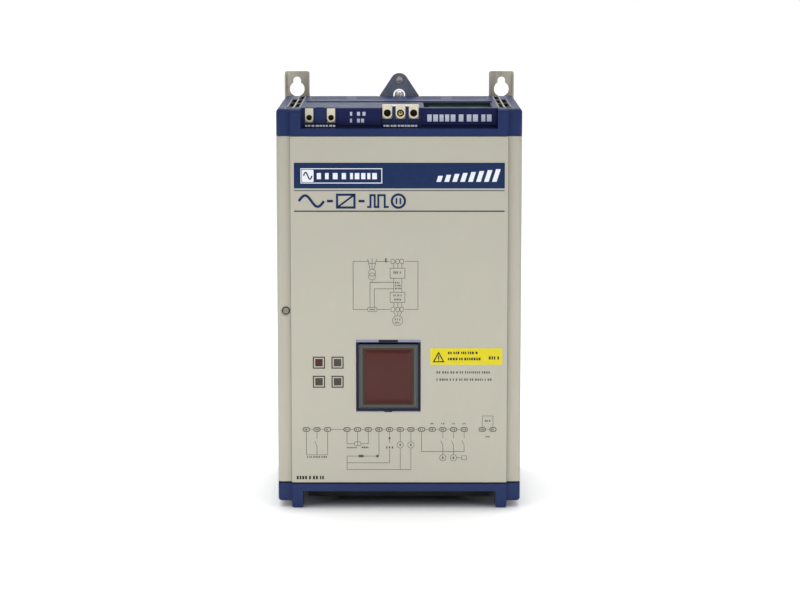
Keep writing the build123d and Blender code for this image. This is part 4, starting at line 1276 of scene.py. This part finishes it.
# ------------------------------------------------------------------ display, keys and status windows
@dataclass
class DisplayWindow(Assembly):
    """Bezel, hinged smoked flap, and the digits and keys behind it."""

    x: float = -10.9
    z: float = 135.4
    bezel: Point = (65.0, 71.7)
    wall: float = 2.2
    gap: float = 0.3
    pane: Point = (47.6, 53.6)
    step: float = 2.2
    rim_break: float = 2.1
    head_room: float = 1.2
    lip_highlight_height: float = 1.3
    pane_shift: float = -0.7
    front: float = -104.6
    sheet: float = 3.2
    digit_size: Point = (9.6, 17.0)
    digit_step: float = 14.2
    segment: float = 1.7

    def flap(self) -> None:
        """Build the flap: bevelled rim, sunken inner frame, crowned pane and its two trunnions."""
        half_w = self.bezel[0] / 2 - self.wall - self.gap
        half_h = self.bezel[1] / 2 - self.wall - self.gap
        outer = box_outline(around(self.x, half_w), (self.z - half_h, self.z + half_h - self.head_room), 0.9)
        centre_z = self.z + self.pane_shift
        reach_x, reach_z = self.pane[0] / 2 + self.step, self.pane[1] / 2 + self.step
        step_x, step_z = around(self.x, reach_x), around(centre_z, reach_z)
        middle = box_outline(step_x, step_z, 0.7)
        turn = grown(step_x, step_z, self.rim_break, 0.8)
        pane_x, pane_z = around(self.x, self.pane[0] / 2), around(centre_z, self.pane[1] / 2)
        back = self.front + self.sheet
        rim = Shape().frame(outer, turn, (self.front, back), slope=0.35)
        bevel = Shape().frame(turn, middle, (self.front + 0.35, back), slope=0.35)
        bevel.piece("display_flap_bevel", Finishes.rim_grey, FLAP, "smoked_red")
        axis = (self.front + self.sheet / 2, self.z - half_h + self.sheet / 2)
        for side in (-1, 1):
            ends = sorted((self.x + side * (half_w - 1.0), self.x + side * (half_w + 1.5)))
            rim.turned([(1.2, ends[0]), (1.2, ends[1])], axis, Axis.X, 20)
        flap = rim.piece("display_flap_rim", Finishes.rim, FLAP, "smoked_red", bevel=0.25)
        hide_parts(FLAP)
        inner = Shape().frame(middle, box_outline(pane_x, pane_z, 0.5), (self.front + 0.7, back), slope=0.5)
        inner.piece("display_flap_step", Finishes.rim_shade, FLAP, "smoked_red")
        pane = Shape()
        levels = ((0.0, back - 0.2), (0.0, self.front + 1.5), (1.2, self.front + 1.15),
                  (4.0, self.front + 1.0))
        pane.skin([[point_at(u, v, w, Axis.Y) for u, v in grown(pane_x, pane_z, -inset, 0.5)]
                   for inset, w in levels])
        pane.piece("display_flap_pane", Finishes.smoked, FLAP, "smoked_red", smooth=60.0)

    def bezel_highlights(self) -> None:
        """Lay the pale strips on the lips above and below the bezel, which are painted highlights, broken by
        its two notches.
        """
        face = box_mm("window_bezel")[0].y
        bezel_highlights, marks = Print(face, 0.04), Print(face, 0.05)
        half_w, half_h = self.bezel[0] / 2, self.bezel[1] / 2
        for side, notch, inset in ((1, 9.75, self.lip_highlight_height), (-1, 4.0, 0.0)):
            z = tuple(sorted(self.z + side * reach
                             for reach in (half_h - inset, half_h + self.lip_highlight_height - 0.3)))
            bezel_highlights.bar((self.x - half_w, self.x - notch), z).bar((self.x + notch, self.x + half_w), z)
            marks.bar(around(self.x, notch), z)
        bezel_highlights.piece("bezel_painted_highlights", Finishes.lip, COVER, "navy_plate")
        marks.piece("bezel_notches", Finishes.navy, COVER, "navy_plate")

    def digits(self) -> None:
        """Lay the seven segments of each digit on the module behind the flap."""
        face = box_mm("digit_module")[0].y
        art = Print(face, 0.15)
        w, h, line = self.digit_size[0] / 2, self.digit_size[1] / 2, self.segment / 2
        for step in (-1, 0, 1):
            cx, cz = self.x + step * self.digit_step, 144.0
            for level in (-h, 0.0, h):
                z = cz + level
                art.area([(cx - w + 0.5, z), (cx - w + 1.3, z + line), (cx + w - 1.3, z + line),
                          (cx + w - 0.5, z), (cx + w - 1.3, z - line), (cx - w + 1.3, z - line)])
            for side in (-w, w):
                for low in (-h, 0.0):
                    a, b = cz + low + 0.5, cz + low + h - 0.5
                    u = cx + side
                    art.area([(u, a), (u + line, a + 0.8), (u + line, b - 0.8), (u, b), (u - line, b - 0.8),
                              (u - line, a + 0.8)])
            art.area(round_outline((cx + w + 2.1, cz - h), 0.9, 16))
        art.piece("display_segments", Finishes.segment, ROOT, "smoked_red")

    def key_marks(self) -> None:
        """Print an arrow or a bar on each key."""
        marks = {"key_data": [(-2.6, -0.6), (2.6, -0.6), (2.6, 0.6), (-2.6, 0.6)],
                 "key_up": [(-2.2, -1.4), (2.2, -1.4), (0.0, 1.9)],
                 "key_down": [(-2.2, 1.4), (0.0, -1.9), (2.2, 1.4)]}
        for name, outline in marks.items():
            low, high = box_mm(name)
            x, z = (low.x + high.x) / 2, (low.z + high.z) / 2
            art = Print(low.y, 0.1).area([(x + u, z + v) for u, v in outline])
            art.piece(f"{name}_mark", Finishes.ink_white, name, "key_cap")

    def build(self) -> None:
        """Dress and detail the window."""
        self.dress({Finishes.navy: ("window_bezel",)}, bevel=0.35)
        self.dress({Finishes.black: ("display_housing",), Finishes.digit_face: ("digit_module",)})
        self.dress({Finishes.key_grey: ("key_data", "key_up", "key_down")})
        self.flap()
        self.bezel_highlights()
        self.digits()
        self.key_marks()


@dataclass
class StatusWindows(Assembly):
    """Four ribbed status lenses with the outlines printed round them."""

    places: tuple[Point, ...] = ((-80.7, 149.0), (-62.0, 149.0), (-80.7, 129.5), (-62.0, 129.5))
    side: float = 12.2
    line: float = 1.1
    lens: float = 7.5
    rib_pitch: float = 1.2
    rib_foot: float = -104.15
    rib_top: float = -104.4

    def build(self) -> None:
        """Dress the lenses, rib their faces and print their outlines."""
        self.dress({Finishes.lens_red: ("status_lens_red",), Finishes.lens_green: ("status_lenses_green",),
                    Finishes.led: ("status_leds",)})
        art, half = Print(COVER_FACE, 0.16), self.side / 2
        for x, z in self.places:
            art.outline(around(x, half), around(z, half), self.line)
        art.piece("print_status_outlines", Finishes.ink_dark, COVER)
        for i, (x, z) in enumerate(self.places):
            ribs = Shape()
            for row in range(6):
                low = z - self.lens / 2 + 0.35 + row * self.rib_pitch
                profile = [(self.rib_foot, low), (self.rib_top, low + 0.4), (self.rib_foot, low + 0.8)]
                ribs.plate(profile, (x - self.lens / 2 + 0.3, x + self.lens / 2 - 0.3), Axis.X)
            finish, slot = (Finishes.lens_green, "green_lens") if i else (Finishes.lens_red, "red_lens")
            ribs.piece(f"status_ribs_{i + 1}", finish, COVER, slot)


# ------------------------------------------------------------------ top terminals and plates
@dataclass
class TerminalRecess(Assembly):
    """Power terminals, rating plates and label strips in the recess of the top cap."""

    plate_face: float = -93.5
    strip_face: float = -92.2
    wall: float = -91.0
    dc_poles: Point = (-89.7, -67.9)
    dc_level: float = 394.4
    line_poles: tuple[float, ...] = (-11.8, 1.3, 14.4)
    line_level: float = 399.0
    pole_half: float = 4.85
    strip_spans: tuple[Point, ...] = ((-95.0, -62.6), (-16.8, 19.4))

    def dividers(self) -> None:
        """Build the blue moulding between and under the poles of both terminal blocks, and the black tubes in
        the terminal bores that stand as painted shade.
        """
        dividers = Shape()
        for left, right in zip(self.line_poles, self.line_poles[1:]):
            span = (left + self.pole_half, right - self.pole_half)
            dividers.box(span, (-92.3, -88.5), (384.1, 405.2))
        dividers.plate(box_outline((-17.1, 19.7), (384.1, 392.8)), (-90.8, -88.5))
        dividers.plate(box_outline((-84.6, -73.0), (388.6, 403.4), 0.8), (-93.2, -90.9))
        dividers.plate(box_outline((-83.4, -74.2), (401.2, 404.6), 0.6), (-92.4, -90.9))
        dividers.piece("terminal_dividers", Finishes.blue, slot="blue_moulding", bevel=0.3)
        # Black tubes inside the terminal bores: painted shade in the holes.
        bore_shade = Shape()
        bores = [((x, self.dc_level), 2.8, 2.35) for x in self.dc_poles]
        bores += [((x, self.line_level), 3.6, 3.1) for x in self.line_poles]
        for centre, outer, inner in bores:
            bore_shade.frame(round_outline(centre, outer), round_outline(centre, inner), (-92.7, -86.2))
        bore_shade.piece("terminal_bore_painted_shade", Finishes.rubber, slot="black_moulding")

    def middle_screw(self) -> None:
        """Set the tightened brass screw of the middle line pole, with its cross slot and washer."""
        x, z, front = self.line_poles[1], self.line_level, -90.4
        head = Shape()
        head.turned([(2.0, front - 0.7), (2.7, front - 0.35), (2.9, front + 0.2), (2.9, front + 2.0)],
                    (x, z), sides=36)
        head.piece("middle_pole_screw", Finishes.brass, slot="brass", bevel=0.1)
        # The cross slots are darkened brass: painted shade.
        slot = Shape().box(around(x, 1.7), (front - 0.78, front - 0.6), around(z, 0.35))
        slot.box(around(x, 0.35), (front - 0.79, front - 0.6), around(z, 1.7))
        slot.piece("middle_pole_screw_slots", Finishes.painted_shade_brass, slot="brass")

    def bay_liner(self) -> None:
        """Line the option bay with black film behind the card."""
        liner = Shape().box((24.7, 93.1), (-8.5, -8.1), (384.2, 402.6))
        for x in ((24.6, 25.0), (92.8, 93.2)):
            liner.box(x, (-79.5, -8.2), (384.2, 402.6))
        liner.piece("option_bay_liner", Finishes.rubber, slot="black_moulding")

    def strips(self) -> None:
        """Stand the label strips under both terminal blocks and print their dashes."""
        strips = Shape()
        for span in self.strip_spans:
            strips.plate(box_outline(span, (384.0, 388.4), 0.6), (self.strip_face, self.wall + 0.05))
        strips.piece("terminal_label_strips", Finishes.plate, slot="navy_plate", bevel=0.15)
        dashes = Print(self.strip_face, 0.12)
        for i, span in enumerate(self.strip_spans):
            dashes.marks((span[0] + 1.2, span[1] - 1.2), (385.3, 387.1), 90 + i, (0.9, 1.9), 0.35)
        dashes.piece("terminal_label_dashes", Finishes.ink_white)

    def plate_marks(self) -> None:
        """Print the plain marks on both rating plates."""
        art = Print(self.plate_face, 0.12)
        for z, seed in (((396.4, 400.2), 95), ((389.6, 393.4), 97)):
            art.marks((-49.0, -45.0), z, seed, (0.5, 0.6), 0.3)
            art.marks((-42.0, -33.0), z, seed + 1, (0.7, 0.9), 0.3)
        art.marks((28.0, 92.0), (390.6, 397.6), 99, (0.5, 0.8), 0.22)
        art.piece("rating_plate_marks", Finishes.ink_pale)

    def build(self) -> None:
        """Dress the terminals and plates and add their print."""
        self.dress({Finishes.cream: ("dc_terminal_block", "line_terminal_block"),
                    Finishes.plate: ("rating_plate_left", "rating_plate_right")}, bevel=0.25)
        # The screws deep in the terminal holes take brass darkened as painted shade.
        self.dress({Finishes.painted_shade_brass: ("top_terminal_screws",), Finishes.board: ("option_card",)})
        self.dividers()
        self.middle_screw()
        self.bay_liner()
        self.strips()
        self.plate_marks()


# ------------------------------------------------------------------ metalwork
@dataclass
class Metalwork(Assembly):
    """Mounting lugs, lifting eye, heat sink and fan plate."""

    rivet: tuple[float, float, float] = (0.0, 98.5, 421.0)
    rivet_radius: float = 3.9
    stud: tuple[float, float] = (0.0, 91.5)
    stud_radius: float = 5.0
    stud_shoulder: float = 405.6

    def rivet_head(self) -> None:
        """Add the domed head of the eye's rivet."""
        x, face, z = self.rivet
        profile = [(self.rivet_radius * math.cos(a), face - 1.4 * math.sin(a))
                   for a in (math.radians(15 * step) for step in range(6))]
        head = Shape().turned(profile, (x, z))
        head.piece("lifting_eye_rivet_head", Finishes.zinc, slot="grey_steel", smooth=60.0)

    def stud_dome(self) -> None:
        """Add the domed cap of the stud in front of the eye's hole."""
        profile = [(self.stud_radius, 404.2)]
        profile += arc((0.0, self.stud_shoulder), self.stud_radius, 0.0, 75.0, 5)
        cap = Shape().turned(profile, self.stud, Axis.Z)
        cap.piece("lifting_eye_stud_cap", Finishes.plated, slot="grey_steel", smooth=60.0)

    def build(self) -> None:
        """Dress the metal parts."""
        self.stud_dome()
        lugs = [f"mounting_lug_{end}_{side}" for end in ("top", "bottom") for side in ("left", "right")]
        self.dress({Finishes.zinc: lugs}, bevel=0.35)
        self.dress({Finishes.grey_steel: ("lifting_eye",)}, bevel=0.3)
        self.dress({Finishes.aluminium: ("heat_sink",)}, bevel=0.15)
        self.dress({Finishes.plated: ("lug_screws", "lifting_eye_bolts", "fan_screws"),
                    Finishes.zinc_flat: ("fan_plate",)})
        self.rivet_head()


@dataclass
class Fans(Assembly):
    """Two axial fans with curved blades and round-wire guards."""

    centres: tuple[Point, ...] = ((-45.0, 70.0), (45.0, 70.0))
    blades: int = 7
    hub: float = 12.5
    tip: float = 27.5
    chord: float = 15.0
    blade_sheet: float = 1.1
    wire: float = 0.8
    guard_rings: tuple[float, ...] = (7.0, 12.5, 18.0, 23.5)
    screw_reach: float = 25.0

    def blade(self, rotor: Shape, centre: Point, angle: float, z: Point) -> None:
        """Add one curved blade.

        Args:
            rotor: The rotor's shape.
            centre: The fan's axis.
            angle: Where the blade starts, in radians.
            z: Its lowest and highest level.
        """
        rings, steps, stations, root = [], 8, 6, self.hub - 0.6
        for station in range(stations + 1):
            share = station / stations
            radius = root + (self.tip - root) * share
            sweep = angle + 0.35 * share ** 2
            ring = []
            for face in (1, -1):
                for k in range(steps + 1)[::face]:
                    t = k / steps - 0.5
                    turn = sweep + t * self.chord / radius * (0.7 + 0.3 * share)
                    thick = self.blade_sheet * (0.25 + 0.75 * math.cos(math.pi * t * 0.9)) / 2
                    middle = sum(z) / 2 + t * (z[1] - z[0] - 2.0) * 0.92 + 0.9 * math.cos(math.pi * t)
                    ring.append(Vector((centre[0] + radius * math.cos(turn),
                                        centre[1] + radius * math.sin(turn), middle + face * thick)))
            rings.append(ring)
        rotor.skin(rings)

    def rotor(self, side: str, centre: Point) -> None:
        """Build a rotor in place of the CAD one, with its hub label.

        Args:
            side: left or right.
            centre: The fan's axis.
        """
        body = f"fan_rotor_{side}"
        low, high = box_mm(body)
        rotor = Shape()
        edge = 1.2
        rotor.turned([(self.hub - edge, low.z), (self.hub, low.z + edge), (self.hub, high.z - edge),
                      (self.hub - edge, high.z)], centre, Axis.Z, 48)
        for k in range(self.blades):
            self.blade(rotor, centre, 2 * math.pi * k / self.blades, (low.z + 0.5, high.z - 0.5))
        piece = rotor.piece(f"{body}_blades", Finishes.black, body, "black_moulding")
        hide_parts(body)
        label = Shape().turned([(self.hub - 2.6, low.z - 0.12), (self.hub - 2.4, low.z + 0.05)], centre,
                               Axis.Z)
        label.piece(f"{body}_label", Finishes.can, body, "aluminium")

    def guards(self) -> None:
        """Build both wire guards in place of the CAD ones."""
        low, _ = box_mm("fan_guards")
        level = low.z + self.wire
        above = level + self.wire * 0.9
        wires = Shape()
        for cx, cy in self.centres:
            for radius in self.guard_rings:
                ring = [Vector((x, y, level)) for x, y in round_outline((cx, cy), radius, 48)]
                wires.wire(ring, self.wire, True)
            for quarter in range(4):
                angle = math.radians(45 + 90 * quarter)
                reaches = (self.guard_rings[0] - 0.6, 18.0, 28.0, self.screw_reach * math.sqrt(2) - 2.6)
                run = [Vector((cx + r * math.cos(angle), cy + r * math.sin(angle), above)) for r in reaches]
                wires.wire(run, self.wire)
                eye = (cx + math.copysign(self.screw_reach, math.cos(angle)),
                       cy + math.copysign(self.screw_reach, math.sin(angle)))
                wires.wire([Vector((x, y, above)) for x, y in round_outline(eye, 2.9, 24)], self.wire, True)
        piece = wires.piece("fan_guard_wires", Finishes.plated, slot="zinc_steel")
        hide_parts("fan_guards")

    def build(self) -> None:
        """Dress the frames and build rotors and guards."""
        self.dress({Finishes.black: ("fan_frame_left", "fan_frame_right")}, bevel=0.3)
        for side, centre in zip(("left", "right"), self.centres):
            self.rotor(side, centre)
        self.guards()


# ------------------------------------------------------------------ electronics
@dataclass
class Electronics(Assembly):
    """Control level on its steel tray, power level behind it, and the small parts on both boards."""

    board_face: float = -72.0
    seed: int = 12
    pin_pitch: float = 2.54
    leg_width: float = 0.7
    can_radius: float = 4.0

    def chip_legs(self) -> None:
        """Add the rows of bent legs beside each chip."""
        legs = Shape()
        places = ((-60.0, 290.0, 50.0, 14.0), (10.0, 290.0, 36.0, 14.0), (10.0, 260.0, 36.0, 14.0),
                  (-60.0, 250.0, 24.0, 8.0), (-30.0, 220.0, 24.0, 8.0), (20.0, 210.0, 24.0, 8.0))
        bend = ((0.0, 1.3), (0.0, 0.9), (1.9, 0.9), (1.9, -0.2), (2.3, -0.2), (2.3, 1.3))
        for x, z, width, height in places:
            count = int(width / self.pin_pitch)
            for k in range(count):
                left = x - (count - 1) * self.pin_pitch / 2 + k * self.pin_pitch - self.leg_width / 2
                for side in (-1, 1):
                    edge = z + side * height / 2
                    profile = [(self.board_face - up, edge + side * out) for up, out in bend]
                    legs.plate(profile, (left, left + self.leg_width), Axis.X)
        legs.piece("chip_legs", Finishes.can, slot="zinc_steel")

    def resistors(self) -> None:
        """Add rows of small resistors with wire ends and colour rings."""
        bodies, wires, rings = Shape(), Shape(), Shape()
        draw = random.Random(self.seed)
        rows = [(x, z) for z in (150.0, 162.0, 174.0, 186.0, 306.0, 318.0) for x in range(-80, 85, 15)
                if not (-42 < x < 20 and z < 175)]
        for x, z in rows:
            if draw.random() < 0.2:
                continue
            y = self.board_face - 1.5
            half = ((0.5, 3.4), (1.25, 3.0), (1.25, 2.0), (1.0, 1.7))
            profile = [(r, x - out) for r, out in half] + [(r, x + out) for r, out in reversed(half)]
            bodies.turned(profile, (y, z), Axis.X, 14)
            end = ((5.4, self.board_face), (5.2, y + 0.2), (4.6, y))
            run = [Vector((x - out, depth, z)) for out, depth in end]
            run += [Vector((x + out, depth, z)) for out, depth in reversed(end)]
            wires.wire(run, 0.28, sides=6)
            for offset in (-1.2, -0.2, 0.9):
                rings.turned([(1.04, x + offset), (1.04, x + offset + 0.4)], (y, z), Axis.X, 14)
        bodies.piece("resistor_bodies", Finishes.resistor, slot="cream_moulding")
        wires.piece("resistor_wires", Finishes.can, slot="zinc_steel")
        rings.piece("resistor_rings", Finishes.ink_dark)

    def small_cans(self) -> None:
        """Add small capacitors with crimped cans and scored tops."""
        sleeves, tops = Shape(), Shape()
        r, base = self.can_radius, self.board_face
        for x, z in ((-84.0, 300.0), (-84.0, 276.0), (62.0, 312.0), (74.0, 312.0), (62.0, 300.0),
                     (52.0, 186.0)):
            sleeves.turned([(r, base), (r, base - 1.6), (r - 0.5, base - 2.1), (r, base - 2.6),
                            (r, base - 9.8), (r - 0.4, base - 10.3)], (x, z), Axis.Y, 24)
            tops.turned([(r - 0.5, base - 10.2), (r - 0.7, base - 10.45)], (x, z), Axis.Y, 24)
        sleeves.piece("small_can_sleeves", Finishes.sleeve, slot="can_sleeve")
        tops.piece("small_can_tops", Finishes.can, slot="aluminium")

    def silkscreen(self) -> None:
        """Print component outlines and a border on the control board."""
        art = Print(self.board_face, 0.08)
        art.outline((-96.5, 96.5), (53.5, 344.5), 0.35)
        for x, z, w, h in ((-60.0, 290.0, 56.0, 20.0), (10.0, 290.0, 42.0, 20.0), (10.0, 260.0, 42.0, 20.0),
                           (-60.0, 250.0, 30.0, 14.0), (20.0, 210.0, 30.0, 14.0)):
            art.outline(around(x, w / 2), around(z, h / 2), 0.3)
        for i in range(14):
            art.marks((-86.0 + i * 10.75, -82.0 + i * 10.75), (78.4, 80.2), 120 + i, (0.3, 0.7))
        art.piece("board_silkscreen", Finishes.ink_white)

    def build(self) -> None:
        """Dress both levels and add the small parts."""
        self.dress({Finishes.zinc_flat: ("control_tray",),
                    Finishes.plated: ("tray_standoffs", "board_screws"),
                    Finishes.brass: ("board_pillars", "earth_stud"),
                    Finishes.board: ("control_board", "power_board"),
                    Finishes.terminal_green: ("control_terminal_blocks",),
                    Finishes.plated_bright: ("control_terminal_screws", "motor_terminal_screws")})
        self.dress({Finishes.black: ("motor_terminal_block", "logic_chips", "selector_body",
                                     "rectifier_module", "current_sensors"),
                    Finishes.relay_blue: ("relays",), Finishes.ceramic: ("board_connector", "igbt_module"),
                    Finishes.slider: ("selector_slider",)}, bevel=0.2)
        self.dress({Finishes.sleeve: ("capacitors",), Finishes.winding: ("transformer",)})
        self.chip_legs()
        self.resistors()
        self.small_cans()
        self.silkscreen()


def main() -> None:
    """Build every sub-assembly in order."""
    logging.basicConfig(level=logging.INFO, format="%(name)s: %(message)s")
    for assembly in (Studio(), Case(), CoverScrew(), CoverPrint(), DisplayWindow(), StatusWindows(),
                     TerminalRecess(), Metalwork(), Fans(), Electronics()):
        LOG.info("building %s", type(assembly).__name__)
        assembly.build()


if __name__ == "__main__":
    main()
